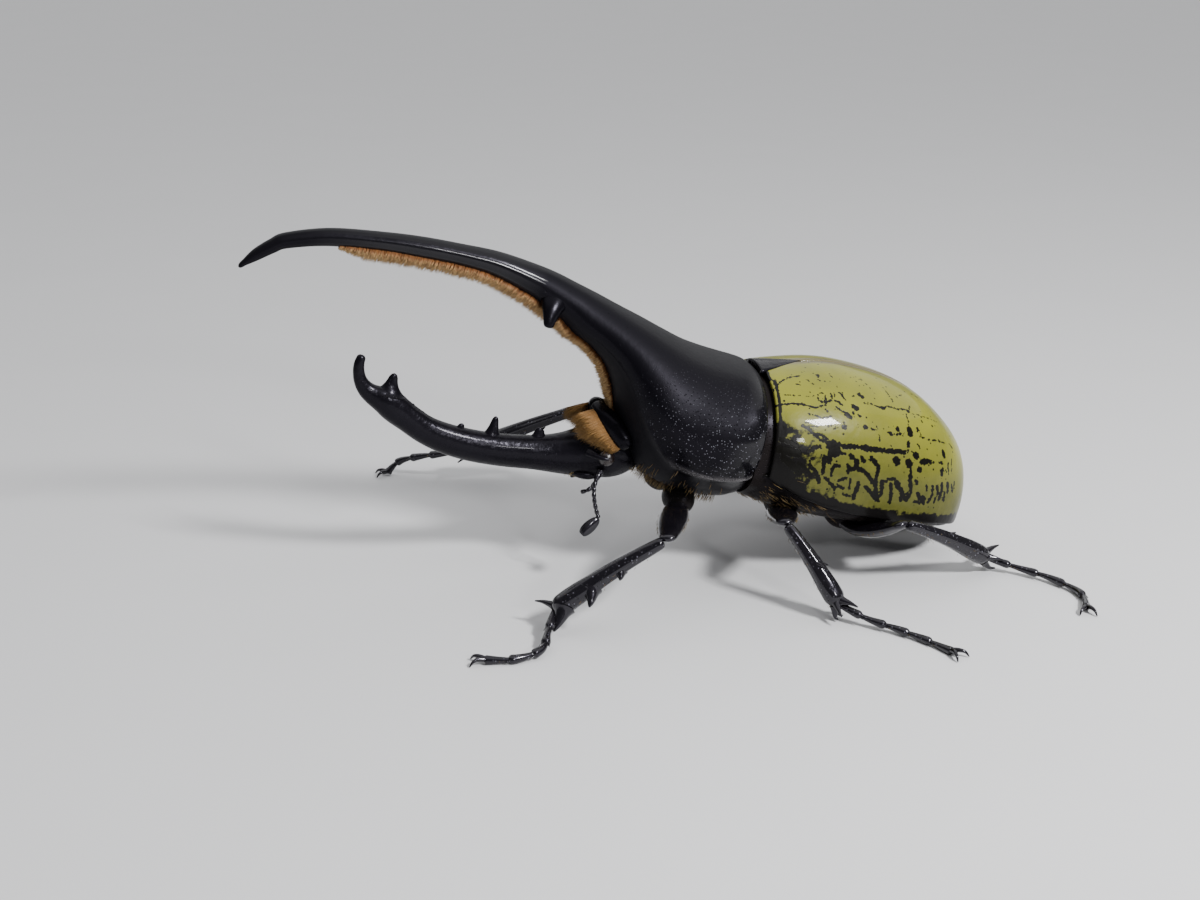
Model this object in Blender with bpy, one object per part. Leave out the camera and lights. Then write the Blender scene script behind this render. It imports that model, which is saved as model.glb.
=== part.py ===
"""Hercules beetle: a still, life-size male in a walking stance, from horn tips to claws.

The trunk is drawn in a body frame: u runs from the waist to the rear, v to the right side of the
animal and w up out of its back. The body frame stands in the world pitched nose-up. The legs are
drawn in the world, where the floor is z = 0. The head points to -X and the left side faces -Y.
All sizes are millimetres, and MM turns them into metres where a mesh is made.
"""

import math
import random

import bmesh
import bpy
from mathutils import Matrix, Vector

MM = 0.001
NAME = "hercules_beetle"

# The trunk in the world: its nose-up pitch and the waist, where pronotum and wing cases meet.
PITCH = math.radians(12.0)
WAIST = Vector((30.0, 0.0, 26.0))

# Clearance between neighbouring pieces, and how a shell lies over what it covers.
GAP = 0.3
HALF_GAP = GAP / 2.0
SHELL = 1.0
BLOCK_SIZE = 300.0

# Ring counts of the lofts.
TRUNK_SIDES = 24
HORN_SIDES = 16
LIMB_SIDES = 8
FOOT_SIDES = 6

# Upper horn and pronotum: top point, bottom point, half width, share of the way down to the
# widest place. The sections stand across the horn and fan round into the pronotum.
UPPER_HORN_TIP = (-101.0, 17.2)
UPPER_HORN = (
    ((-100.5, 18.5), (-99.9, 17.6), 0.65, 0.50),
    ((-98.9, 20.7), (-97.8, 18.9), 1.00, 0.50),
    ((-96.4, 22.9), (-95.1, 20.7), 1.25, 0.50),
    ((-93.9, 24.5), (-93.0, 21.8), 1.45, 0.50),
    ((-86.3, 26.5), (-85.9, 23.3), 1.70, 0.50),
    ((-76.5, 27.3), (-76.5, 23.8), 1.90, 0.50),
    ((-69.6, 27.5), (-69.7, 23.6), 2.10, 0.50),
    ((-62.7, 27.3), (-62.8, 23.3), 2.35, 0.50),
    ((-55.3, 26.9), (-56.3, 22.3), 2.80, 0.50),
    ((-47.9, 25.6), (-49.6, 19.9), 3.60, 0.50),
    ((-43.8, 24.6), (-46.2, 18.2), 4.20, 0.50),
    ((-40.1, 23.4), (-42.7, 16.3), 4.90, 0.52),
)
PRONOTUM = (
    ((-35.5, 21.9), (-39.7, 14.2), 6.20, 0.55),
    ((-31.0, 20.3), (-36.0, 12.3), 8.00, 0.58),
    ((-26.0, 18.6), (-32.6, 9.4), 10.40, 0.60),
    ((-21.0, 16.8), (-30.3, 5.4), 13.00, 0.61),
    ((-16.5, 15.3), (-28.8, 1.0), 15.20, 0.60),
    ((-12.2, 14.4), (-26.4, -4.2), 16.80, 0.59),
    ((-8.6, 13.9), (-22.5, -9.8), 17.70, 0.57),
    ((-5.6, 13.5), (-14.5, -13.0), 18.00, 0.53),
    ((-3.6, 13.1), (-7.0, -13.6), 17.70, 0.50),
    ((-2.6, 12.4), (-4.2, -12.8), 16.90, 0.50),
)
HORN_MIDDLE_STATION = 7
HORN_ROOT_STATION = 13
TRUNK_TOP_POWER = 2.15
TRUNK_LOW_POWER = 1.9

# Paired side teeth of the upper horn: foot on the horn, tip, and radius of the foot.
SIDE_TOOTH_FOOT = (-44.6, 2.4, 20.4)
SIDE_TOOTH_BEND = (-45.2, 5.2, 18.3)
SIDE_TOOTH_TIP = (-45.5, 6.3, 15.4)
SIDE_TOOTH_RADII = (2.0, 1.25, 0.25)

# Brush under the upper horn: the stations where it starts and ends, its depth out to the tips
# under the horn and down the front of the pronotum, and its half width as a share of the horn's.
BRUSH_START = 4.2
BRUSH_END = 16.6
BRUSH_DEPTH = 2.0
BRUSH_FRONT_DEPTH = 1.1
BRUSH_END_DEPTH = 0.3
BRUSH_WIDTH_SHARE = 0.62
BRUSH_HALF_WIDTH = 2.6
BRUSH_SUNK = 1.0
BRUSH_CORE_SHARE = 0.45
BRUSH_CORE_RINGS = 24
LOCK_STEP = 1.9
LOCK_ROWS = (-0.75, 0.0, 0.75)
SLIM_LOCK_ROWS = (-0.55, 0.55)
SLIM_HALF_WIDTH = 1.5
LOCK_HALF_WIDTH = 1.15
LOCK_HALF_THICK = 0.34
LOCK_SUNK = 0.7
LOCK_SPLAY = math.radians(24.0)
LOCK_LEAN = 0.28
LOCK_SEED = 11

# Lower horn: centre line from tip to foot with the radius in the plane of symmetry.
LOWER_HORN = (
    ((-77.6, 3.6), 0.55),
    ((-77.5, 2.4), 0.95),
    ((-77.0, 0.9), 1.30),
    ((-75.6, -0.8), 1.55),
    ((-73.6, -2.4), 1.80),
    ((-70.7, -4.0), 2.25),
    ((-67.5, -5.8), 2.65),
    ((-63.2, -8.0), 2.80),
    ((-58.8, -9.5), 2.95),
    ((-54.0, -10.4), 3.20),
    ((-48.1, -10.8), 3.40),
    ((-41.9, -10.5), 3.60),
    ((-36.0, -9.9), 4.05),
    ((-31.5, -9.2), 4.30),
)
LOWER_HORN_TIP = (-77.4, 4.5)
LOWER_HORN_SIDE_SHARE = 0.82

# Teeth along the upper side of the lower horn: tip, front foot, rear foot, half width.
LOWER_TEETH = (
    ((-71.0, 1.3), (-72.4, -2.6), (-68.4, -3.2), 1.1),
    ((-57.9, -5.6), (-59.3, -7.9), (-56.5, -8.2), 0.8),
    ((-50.2, -4.1), (-52.2, -8.4), (-47.4, -8.6), 1.2),
    ((-42.2, -5.2), (-43.8, -8.4), (-39.6, -8.2), 1.0),
)

# Head: the rounded capsule, its blunt front plate, the eyes and the two parting places.
HEAD_CENTRE = (-28.4, 0.0, -7.4)
HEAD_RADII = (7.2, 6.4, 5.6)
FACE_CENTRE = (-32.6, 0.0, -11.0)
FACE_RADII = (3.0, 3.9, 2.0)
HEAD_PLANE_U = -35.4
EYE_CENTRE = (-29.4, 6.4, -7.6)
EYE_RADIUS = 1.55

# Antennae: the stalk's points out to the middle of the club, its radius, and the club's leaves.
# The left one hangs and the right one is held forward beside the horn. v counts outwards here.
STALKS = {
    "left": ((-29.6, 5.2, -10.4), (-30.9, 7.4, -13.2), (-30.4, 8.4, -16.2), (-29.2, 8.8, -18.9)),
    "right": ((-29.6, 5.2, -10.4), (-30.4, 8.0, -11.6), (-31.8, 10.6, -12.2), (-33.6, 12.4, -12.4)),
}
STALK_RADIUS = 0.42
CLUB_CENTRES = {"left": (-30.6, 9.0, -20.6), "right": (-35.6, 13.2, -12.6)}
CLUB_LENGTH = 4.4
CLUB_WIDTH = 1.9
CLUB_LEAF = 0.62
CLUB_LEAVES = 3

# Mouthparts of the right side: the mandible beside the front plate and the jointed feeler.
JAW_CENTRE = (-33.4, 2.5, -13.3)
JAW_RADII = (2.6, 1.2, 0.8)
FEELER = ((-29.4, 3.0, -12.2), (-29.9, 3.9, -13.8), (-30.9, 4.3, -15.0), (-32.4, 4.5, -15.6))
FEELER_RADIUS = 0.45

# Wing cases: the ridge line over the back, and the rim that ends each case low on the side.
RIDGE = (
    (-1.2, 12.9),
    (3.7, 14.1),
    (10.6, 15.3),
    (17.0, 15.4),
    (25.0, 14.4),
    (31.6, 12.4),
    (37.2, 9.1),
    (41.9, 4.9),
    (44.8, -0.4),
    (46.7, -6.0),
    (47.3, -11.4),
)
RIM = (
    (-0.9, 17.0, -3.9),
    (3.5, 18.4, -5.9),
    (9.6, 19.3, -7.4),
    (16.2, 19.7, -8.3),
    (23.6, 19.6, -8.8),
    (30.0, 18.9, -9.0),
    (35.6, 17.2, -9.2),
    (40.4, 14.3, -9.9),
    (43.6, 10.2, -10.7),
    (45.9, 5.4, -11.8),
    (47.0, 0.9, -12.5),
)
CASE_POWER = 2.35
CASE_ROWS = 11
CASE_RINGS = 14

# Small shield between the fronts of the wing cases.
SHIELD_FRONT_U = -1.9
SHIELD_TIP_U = 7.6
SHIELD_HALF_WIDTH = 4.3
SHIELD_THICK = 1.3
SHIELD_PROUD = 0.35

# Trunk under the wing cases: the belly line, station by station under the ridge and rim.
BELLY = (
    (-3.6, -12.4),
    (2.6, -13.7),
    (9.6, -14.3),
    (16.6, -14.5),
    (24.0, -14.4),
    (30.6, -14.3),
    (36.4, -14.2),
    (41.0, -14.2),
    (44.2, -14.1),
    (46.0, -13.9),
    (47.0, -13.6),
)
UNDER_INSET = 1.2
FRONT_REACH = 4.0
TRUNK_RINGS = 14
TRUNK_SHARE = 0.93
CHEST_END_U = 20.5
RUMP_START_U = 42.2

# Legs of one side in the world: hip, knee, ankle, then the points of the foot out to its claws.
LEGS = {
    "front_left": {
        "hip": (10.2, -6.6, 15.4),
        "knee": (4.5, -31.0, 17.7),
        "ankle": (-14.9, -26.1, 3.9),
        "foot": ((-17.3, -31.2, 2.1), (-19.4, -35.6, 1.2), (-24.4, -37.2, 0.75), (-29.6, -36.2, 0.7)),
        "kind": "front",
    },
    "middle_left": {
        "hip": (33.6, -6.4, 12.4),
        "knee": (28.4, -26.2, 16.6),
        "ankle": (36.1, -34.9, 3.2),
        "foot": ((40.2, -38.9, 1.7), (44.2, -42.9, 1.1), (47.6, -47.4, 0.75), (50.3, -52.7, 0.7)),
        "kind": "middle",
    },
    "hind_left": {
        "hip": (46.6, -7.6, 9.6),
        "knee": (52.0, -26.7, 14.2),
        "ankle": (71.9, -21.3, 3.0),
        "foot": ((77.2, -24.4, 1.6), (81.7, -29.6, 1.1), (84.2, -36.2, 0.75), (82.2, -42.2, 0.7)),
        "kind": "hind",
    },
    "front_right": {
        "hip": (10.2, 6.6, 15.4),
        "knee": (6.5, 34.2, 21.4),
        "ankle": (-17.0, 50.0, 7.8),
        "foot": ((-22.2, 52.8, 6.5), (-27.4, 55.8, 5.2), (-31.6, 59.2, 3.2), (-34.4, 59.4, 0.7)),
        "kind": "front",
    },
    "middle_right": {
        "hip": (33.6, 6.4, 12.4),
        "knee": (30.6, 26.8, 16.4),
        "ankle": (39.8, 34.6, 3.2),
        "foot": ((44.4, 38.0, 1.7), (49.0, 41.4, 1.1), (53.0, 45.2, 0.75), (56.2, 50.2, 0.7)),
        "kind": "middle",
    },
    "hind_right": {
        "hip": (46.6, 7.6, 9.6),
        "knee": (53.6, 26.4, 13.9),
        "ankle": (73.0, 19.6, 3.0),
        "foot": ((78.2, 21.4, 1.6), (84.0, 25.0, 1.1), (88.2, 30.4, 0.75), (89.6, 37.6, 0.7)),
        "kind": "hind",
    },
}
FLOOR_Z = 0.0

# Thickness of the legs by kind: hip piece, thigh, shin and foot.
LEG_SIZES = {
    "front": {"hip": (4.2, 3.1), "thigh": 3.3, "sag": 0.0, "drop": 0.0, "shin": 2.3, "foot": 0.95},
    "middle": {"hip": (4.6, 3.0), "thigh": 3.1, "sag": 0.4, "drop": 0.4, "shin": 2.0, "foot": 0.85},
    "hind": {"hip": (4.8, 2.9), "thigh": 3.0, "sag": 2.1, "drop": 0.8, "shin": 2.0, "foot": 0.85},
}
THIGH_SHARES = (0.12, 0.28, 0.5, 0.72, 0.9, 1.0)
THIGH_RADII = (0.55, 0.85, 1.0, 0.9, 0.66, 0.5)
THIGH_FLAT = 0.52
SHIN_SHARES = (0.03, 0.12, 0.4, 0.7, 0.9, 1.0)
SHIN_RADII = (0.52, 0.6, 0.66, 0.8, 0.98, 0.9)
FOOT_JOINTS = 5
# Teeth and spines of the shins: share along the shin, then how far each leans along it, its turn
# about it from the outer side in degrees, its length and its radius at the foot.
SHIN_SPINES = {
    "front": (
        (0.46, 0.35, 0.0, 1.7, 0.75),
        (0.68, 0.45, 0.0, 2.5, 0.95),
        (0.92, 0.75, 0.0, 3.4, 1.10),
        (0.99, 0.90, 150.0, 2.6, 0.50),
    ),
    "middle": (
        (0.50, 0.70, 20.0, 1.6, 0.50),
        (0.52, 0.70, -60.0, 1.6, 0.50),
        (0.97, 0.95, 0.0, 2.6, 0.60),
        (0.97, 0.95, 70.0, 2.4, 0.55),
        (0.97, 0.95, -70.0, 2.4, 0.55),
        (0.99, 1.60, 165.0, 4.2, 0.55),
        (0.99, 1.60, 205.0, 3.4, 0.50),
    ),
    "hind": (
        (0.46, 0.70, 20.0, 1.5, 0.50),
        (0.48, 0.70, -60.0, 1.5, 0.50),
        (0.97, 0.95, 0.0, 2.6, 0.60),
        (0.97, 0.95, 70.0, 2.4, 0.55),
        (0.97, 0.95, -70.0, 2.4, 0.55),
        (0.99, 1.60, 165.0, 3.8, 0.55),
        (0.99, 1.60, 205.0, 3.2, 0.50),
    ),
}
FRONT_TOOTH_DROP = 0.45
SPINE_ROOT = 0.45
SPINE_HOOK = 0.12
SPINE_TIP = 0.14
SPINE_CLEAR = 0.6
CLAW_LENGTH = 3.0
CLAW_RADIUS = 0.42
CLAW_SPREAD = 0.55

BLACK = (0.010, 0.009, 0.014)
SATIN_BLACK = (0.020, 0.019, 0.022)
EYE_BROWN = (0.045, 0.020, 0.012)
OLIVE = (0.330, 0.300, 0.055)


def to_world(point):
    """A body-frame point (u, v, w) as a world point, both in millimetres."""
    u, v, w = point
    turn = Matrix.Rotation(PITCH, 3, "Y")
    return WAIST + turn @ Vector((u, v, w))


def material(name, colour, roughness):
    """A plain Principled finish, made once and shared."""
    found = bpy.data.materials.get(name)
    if found is not None:
        return found
    made = bpy.data.materials.new(name)
    made.use_nodes = True
    shader = made.node_tree.nodes["Principled BSDF"]
    shader.inputs["Base Color"].default_value = (*colour, 1.0)
    shader.inputs["Roughness"].default_value = roughness
    shader.inputs["Metallic"].default_value = 0.0
    return made


def smooth(values, place):
    """A smooth curve through equally spaced tuples; place runs from 0 to len(values) - 1."""
    last = len(values) - 1
    index = min(int(place), last - 1)
    share = place - index
    before = values[max(index - 1, 0)]
    start = values[index]
    end = values[index + 1]
    after = values[min(index + 2, last)]
    result = []
    for p0, p1, p2, p3 in zip(before, start, end, after):
        slope_in = (p2 - p0) / 2.0
        slope_out = (p3 - p1) / 2.0
        cube = (2.0 * p1 - 2.0 * p2 + slope_in + slope_out) * share**3
        square = (3.0 * p2 - 3.0 * p1 - 2.0 * slope_in - slope_out) * share**2
        result.append(cube + square + slope_in * share + p1)
    return tuple(result)


def power(value, exponent):
    """A signed power, for superellipse sections."""
    return math.copysign(abs(value) ** exponent, value)


def skin(shape, rings):
    """Joins rings of world points one to the next with faces; gives back their vertices."""
    rows = [[shape.verts.new(point) for point in ring] for ring in rings]
    count = len(rings[0])
    for row, following in zip(rows, rows[1:]):
        for i in range(count):
            j = (i + 1) % count
            shape.faces.new((row[i], row[j], following[j], following[i]))
    return rows


def loft(rings, start=None, end=None):
    """A closed mesh through rings of world points; start and end may be single end points."""
    shape = bmesh.new()
    rows = skin(shape, rings)
    count = len(rings[0])
    for row, tip in ((rows[0], start), (rows[-1], end)):
        if tip is None:
            shape.faces.new(row)
            continue
        point = shape.verts.new(tip)
        for i in range(count):
            shape.faces.new((row[i], row[(i + 1) % count], point))
    bmesh.ops.recalc_face_normals(shape, faces=shape.faces)
    bmesh.ops.triangulate(shape, faces=[face for face in shape.faces if len(face.verts) > 4])
    return shape


def section(top, bottom, half_width, widest, upper=2.0, lower=2.0, sides=TRUNK_SIDES, grow=0.0):
    """One closed section between a top and a bottom point of the plane of symmetry."""
    top = Vector(top)
    bottom = Vector(bottom)
    down = bottom - top
    if grow:
        top = top - down.normalized() * grow
        bottom = bottom + down.normalized() * grow
        down = bottom - top
        half_width = half_width + grow
    ring = []
    for i in range(sides):
        angle = 2.0 * math.pi * i / sides
        sine = math.sin(angle)
        cosine = math.cos(angle)
        exponent = 2.0 / (upper if cosine > 0.0 else lower)
        reach = widest if cosine > 0.0 else 1.0 - widest
        place = top + down * (widest - reach * power(cosine, exponent))
        ring.append(to_world((place.x, half_width * power(sine, exponent), place.y)))
    return ring


def tube(points, radii, sides=LIMB_SIDES, flat=1.0, side_axis=None, blunt=False):
    """A tapered limb through world points, pointed or blunt at its ends.

    flat is the radius across side_axis as a share of the radius along it.
    """
    points = [Vector(point) for point in points]
    rings = []
    across = None
    for i, point in enumerate(points):
        ahead = points[min(i + 1, len(points) - 1)] - points[max(i - 1, 0)]
        ahead.normalize()
        if side_axis is not None:
            across = Vector(side_axis) - ahead * ahead.dot(Vector(side_axis))
        elif across is None:
            across = ahead.orthogonal()
        else:
            across = across - ahead * ahead.dot(across)
        across = across.normalized()
        other = ahead.cross(across)
        ring = []
        for k in range(sides):
            angle = 2.0 * math.pi * k / sides
            offset = across * math.cos(angle) + other * (math.sin(angle) * flat)
            ring.append(point + offset * radii[i])
        rings.append(ring)
    if blunt:
        return loft(rings)
    first = points[0] + (points[0] - points[1]).normalized() * radii[0] * 0.7
    last = points[-1] + (points[-1] - points[-2]).normalized() * radii[-1] * 0.7
    return loft(rings, first, last)


def ball(centre, radii, axes=None, grow=0.0, segments=12, rings=6):
    """An ellipsoid at a world point; axes are its three unit directions."""
    shape = bmesh.new()
    bmesh.ops.create_uvsphere(shape, u_segments=segments, v_segments=rings, radius=1.0)
    size = Matrix.Diagonal(Vector([radius + grow for radius in radii] + [1.0]))
    turn = Matrix.Identity(4)
    if axes is not None:
        turn = Matrix([axes[0], axes[1], axes[2]]).transposed().to_4x4()
    shape.transform(Matrix.Translation(Vector(centre)) @ turn @ size)
    return shape


def body_axes():
    """The world directions of the body frame."""
    turn = Matrix.Rotation(PITCH, 3, "Y")
    return [turn @ Vector(axis) for axis in ((1, 0, 0), (0, 1, 0), (0, 0, 1))]


def body_ball(centre, radii, grow=0.0, segments=18, rings=12):
    """An ellipsoid placed and turned in the body frame."""
    return ball(to_world(centre), radii, body_axes(), grow, segments, rings)


def slice_off(shape, point, normal):
    """Cuts away the part of a closed mesh that lies on the normal's side, and closes it."""
    bmesh.ops.bisect_plane(
        shape,
        geom=list(shape.verts) + list(shape.edges) + list(shape.faces),
        dist=1.0e-5,
        plane_co=Vector(point),
        plane_no=Vector(normal),
        clear_outer=True,
    )
    edges = [edge for edge in shape.edges if edge.is_boundary]
    bmesh.ops.holes_fill(shape, edges=edges)
    bmesh.ops.triangulate(shape, faces=[face for face in shape.faces if len(face.verts) > 4])
    return shape


def mirrored(shape):
    """The same shape on the other side of the plane of symmetry."""
    copy = shape.copy()
    copy.transform(Matrix.Diagonal((1.0, -1.0, 1.0, 1.0)))
    bmesh.ops.reverse_faces(copy, faces=copy.faces)
    return copy


def as_object(name, shape, collection):
    """Turns a millimetre bmesh into an object in metres."""
    mesh = bpy.data.meshes.new(name)
    shape.transform(Matrix.Scale(MM, 4))
    shape.to_mesh(mesh)
    shape.free()
    made = bpy.data.objects.new(name, mesh)
    collection.objects.link(made)
    return made


def apply_boolean(target, operation, group):
    """Adds one Boolean with a collection to an object and keeps its result as its mesh."""
    cut = target.modifiers.new("boolean", "BOOLEAN")
    cut.operation = operation
    cut.operand_type = "COLLECTION"
    cut.collection = group
    cut.solver = "MANIFOLD"
    graph = bpy.context.evaluated_depsgraph_get()
    result = bpy.data.meshes.new_from_object(target.evaluated_get(graph))
    target.modifiers.remove(cut)
    old = target.data
    target.data = result
    bpy.data.meshes.remove(old)


def empty_collection(name, parent):
    """A new collection under another one."""
    made = bpy.data.collections.new(name)
    parent.children.link(made)
    return made


def clear_collection(group):
    """Removes a helper collection with all that it holds."""
    for item in list(group.objects):
        mesh = item.data
        bpy.data.objects.remove(item)
        bpy.data.meshes.remove(mesh)
    bpy.data.collections.remove(group)


def fused(target, pieces):
    """Joins extra closed pieces to a node by one Boolean union."""
    group = empty_collection("pieces_of_" + target.name, bpy.context.scene.collection)
    for i, piece in enumerate(pieces):
        as_object(f"piece_{i}", piece, group)
    apply_boolean(target, "UNION", group)
    clear_collection(group)


def carved(target, cutters):
    """Cuts grown neighbours out of a node so that the two keep their gap."""
    group = empty_collection("cutters_of_" + target.name, bpy.context.scene.collection)
    for i, cutter in enumerate(cutters):
        tool = as_object(f"cutter_{i}", cutter, group)
        tool.hide_render = True
        tool.display_type = "WIRE"
    apply_boolean(target, "DIFFERENCE", group)
    clear_collection(group)


def sliced(target, point, normal):
    """Cuts a node by a plane and keeps the side behind it, with a block beyond the plane."""
    normal = Vector(normal).normalized()
    block = bmesh.new()
    bmesh.ops.create_cube(block, size=BLOCK_SIZE)
    turn = normal.to_track_quat("Z", "Y").to_matrix().to_4x4()
    place = Matrix.Translation(Vector(point) + normal * (BLOCK_SIZE / 2.0))
    block.transform(place @ turn)
    carved(target, [block])


def keep_largest(target):
    """Keeps only the largest closed surface of a node."""
    shape = bmesh.new()
    shape.from_mesh(target.data)
    shape.verts.ensure_lookup_table()
    unseen = set(shape.verts)
    islands = []
    while unseen:
        edge_of_island = [unseen.pop()]
        island = set(edge_of_island)
        while edge_of_island:
            vert = edge_of_island.pop()
            for link in vert.link_edges:
                other = link.other_vert(vert)
                if other in unseen:
                    unseen.remove(other)
                    island.add(other)
                    edge_of_island.append(other)
        islands.append(island)

    def extent(island):
        spans = [max(v.co[k] for v in island) - min(v.co[k] for v in island) for k in range(3)]
        return Vector(spans).length

    largest = max(islands, key=extent)
    doomed = [vert for island in islands if island is not largest for vert in island]
    bmesh.ops.delete(shape, geom=doomed, context="VERTS")
    bmesh.ops.triangulate(shape, faces=shape.faces)
    shape.to_mesh(target.data)
    shape.free()


class Model:
    """The collection of nodes, and what every node gets."""

    def __init__(self):
        self.parts = empty_collection(NAME, bpy.context.scene.collection)

    def node(self, name, shape, finish):
        """One named node with its material."""
        made = as_object(name, shape, self.parts)
        made.data.materials.append(finish)
        return made

    def copy(self, name, source, finish):
        """Another node that starts as a copy of one."""
        made = bpy.data.objects.new(name, source.data.copy())
        self.parts.objects.link(made)
        made.data.materials.clear()
        made.data.materials.append(finish)
        return made

    def finish(self, target):
        """Drops loose scraps and shades the node round."""
        keep_largest(target)
        target.data.shade_smooth()
        target.data.set_sharp_from_angle(angle=math.radians(40.0))


def upper_stations():
    """The sections of the upper horn and the pronotum as flat tuples for smooth()."""
    rows = []
    for top, bottom, half_width, widest in UPPER_HORN + PRONOTUM:
        rows.append((*top, *bottom, half_width, widest))
    return rows


def upper_section(place, grow=0.0):
    """One section of the upper horn and pronotum; place counts its stations from the tip."""
    values = smooth(upper_stations(), place)
    top = values[0:2]
    bottom = values[2:4]
    return section(top, bottom, values[4], values[5], TRUNK_TOP_POWER, TRUNK_LOW_POWER, grow=grow)


def upper_body():
    """The upper horn and pronotum in one piece, before they are parted."""
    last = len(UPPER_HORN) + len(PRONOTUM) - 1
    parting = HORN_ROOT_STATION
    places = [float(k) for k in range(parting + 1)]
    places += [parting + 0.5 * k for k in range(1, 2 * (last - parting) + 1)]
    rings = [upper_section(place) for place in places]
    tip = to_world((UPPER_HORN_TIP[0], 0.0, UPPER_HORN_TIP[1]))
    return loft(rings, start=tip)


def parting_plane(station):
    """The place and rearward direction of a cut across the upper horn at one of its stations."""
    top, bottom, _, _ = (UPPER_HORN + PRONOTUM)[station]
    top = to_world((top[0], 0.0, top[1]))
    bottom = to_world((bottom[0], 0.0, bottom[1]))
    down = (bottom - top).normalized()
    rearward = Vector((0.0, 1.0, 0.0)).cross(down)
    if rearward.x < 0.0:
        rearward.negate()
    return (top + bottom) / 2.0, rearward


def side_tooth():
    """The right one of the paired teeth under the upper horn."""
    points = [to_world(point) for point in (SIDE_TOOTH_FOOT, SIDE_TOOTH_BEND, SIDE_TOOTH_TIP)]
    return tube(points, SIDE_TOOTH_RADII, sides=8)


def brush_depth(place):
    """How far the brush reaches out of the horn; it tapers in at both of its ends."""
    share = (place - BRUSH_START) / (BRUSH_END - BRUSH_START)
    depth = BRUSH_DEPTH + (BRUSH_FRONT_DEPTH - BRUSH_DEPTH) * max(0.0, share * 2.0 - 1.0)
    ends = min(1.0, BRUSH_END_DEPTH + share * 16.0, BRUSH_END_DEPTH + (1.0 - share) * 6.0)
    return depth * ends


def brush_core(reach):
    """A smooth ridge along the brush, out to a share of its depth."""
    rings = []
    for k in range(BRUSH_CORE_RINGS + 1):
        place = BRUSH_START + (BRUSH_END - BRUSH_START) * k / BRUSH_CORE_RINGS
        values = smooth(upper_stations(), place)
        top = Vector(values[0:2])
        bottom = Vector(values[2:4])
        down = (bottom - top).normalized()
        half_width = min(values[4] * BRUSH_WIDTH_SHARE, BRUSH_HALF_WIDTH)
        low = bottom + down * brush_depth(place) * reach
        rings.append(section(bottom - down * BRUSH_SUNK, low, half_width, 0.5, sides=8))
    return loft(rings)


def brush_places():
    """Stations along the brush, one lock step apart along the horn's lower edge."""
    fine = 40
    count = int((BRUSH_END - BRUSH_START) * fine)
    places = []
    walked = 0.0
    last = None
    for k in range(count + 1):
        place = BRUSH_START + (BRUSH_END - BRUSH_START) * k / count
        bottom = Vector(smooth(upper_stations(), place)[2:4])
        walked += (bottom - last).length if last is not None else LOCK_STEP
        last = bottom
        if walked >= LOCK_STEP:
            walked -= LOCK_STEP
            places.append(place)
    return places


def brush_locks():
    """Flat tapered locks in rows along the brush; they lean to the horn's tip and bend back."""
    chance = random.Random(LOCK_SEED)
    locks = []
    for index, place in enumerate(brush_places()):
        slim = smooth(upper_stations(), place)[4] * BRUSH_WIDTH_SHARE < SLIM_HALF_WIDTH
        for row, share in enumerate(SLIM_LOCK_ROWS if slim else LOCK_ROWS):
            at = place + ((row + index) % 2 - 0.5) * 0.05
            values = smooth(upper_stations(), min(max(at, BRUSH_START), BRUSH_END))
            top = Vector(values[0:2])
            bottom = Vector(values[2:4])
            down = (bottom - top).normalized()
            along = Vector((-down.y, down.x))
            if along.x > 0.0:
                along.negate()
            half_width = min(values[4] * BRUSH_WIDTH_SHARE, BRUSH_HALF_WIDTH)
            splay = LOCK_SPLAY * share
            depth = brush_depth(at) * chance.uniform(0.86, 1.06) * math.cos(splay * 0.8)
            lean = LOCK_LEAN + chance.uniform(-0.12, 0.12)
            across = half_width * share
            root = bottom - down * (abs(share) * half_width * 0.35)
            path = []
            for reach, bend in ((-LOCK_SUNK, 0.0), (depth * 0.5, 0.7), (depth, 1.0)):
                spot = root + down * reach + along * (lean * depth * bend)
                path.append(to_world((spot.x, across + math.tan(splay) * max(reach, 0.0), spot.y)))
            radii = [LOCK_HALF_WIDTH * part for part in (1.0, 0.85, 0.32)]
            side = to_world((along.x, 0.0, along.y)) - to_world((0.0, 0.0, 0.0))
            flat = LOCK_HALF_THICK / LOCK_HALF_WIDTH
            locks.append(tube(path, radii, sides=4, flat=flat, side_axis=side))
    return locks


def lower_horn():
    """The lower horn from its tip back into the head."""
    rings = []
    count = len(LOWER_HORN)
    for i, ((u, w), radius) in enumerate(LOWER_HORN):
        before = LOWER_HORN[max(i - 1, 0)][0]
        after = LOWER_HORN[min(i + 1, count - 1)][0]
        along = Vector((after[0] - before[0], after[1] - before[1])).normalized()
        up = Vector((-along.y, along.x))
        top = (u + up.x * radius, w + up.y * radius)
        bottom = (u - up.x * radius, w - up.y * radius)
        half_width = radius * LOWER_HORN_SIDE_SHARE
        rings.append(section(top, bottom, half_width, 0.5, sides=HORN_SIDES))
    tip = to_world((LOWER_HORN_TIP[0], 0.0, LOWER_HORN_TIP[1]))
    return loft(rings, start=tip)


def lower_tooth(tip, front, rear, half_width):
    """One tooth on the upper side of the lower horn, a flattened cone with a rounded tip."""
    rings = []
    for share, narrow in ((0.0, 1.0), (0.55, 0.62), (0.92, 0.24)):
        middle = [(front[k] + rear[k]) / 2.0 for k in range(2)]
        ends = []
        for foot in (front, rear):
            reach = [middle[k] + (foot[k] - middle[k]) * narrow for k in range(2)]
            ends.append([reach[k] + (tip[k] - middle[k]) * share for k in range(2)])
        rings.append(section(ends[0], ends[1], half_width * narrow, 0.5, sides=8))
    return loft(rings, end=to_world((tip[0], 0.0, tip[1])))


def head_shape(grow=0.0):
    """The rounded capsule of the head."""
    return body_ball(HEAD_CENTRE, HEAD_RADII, grow, segments=16, rings=10)


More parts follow.
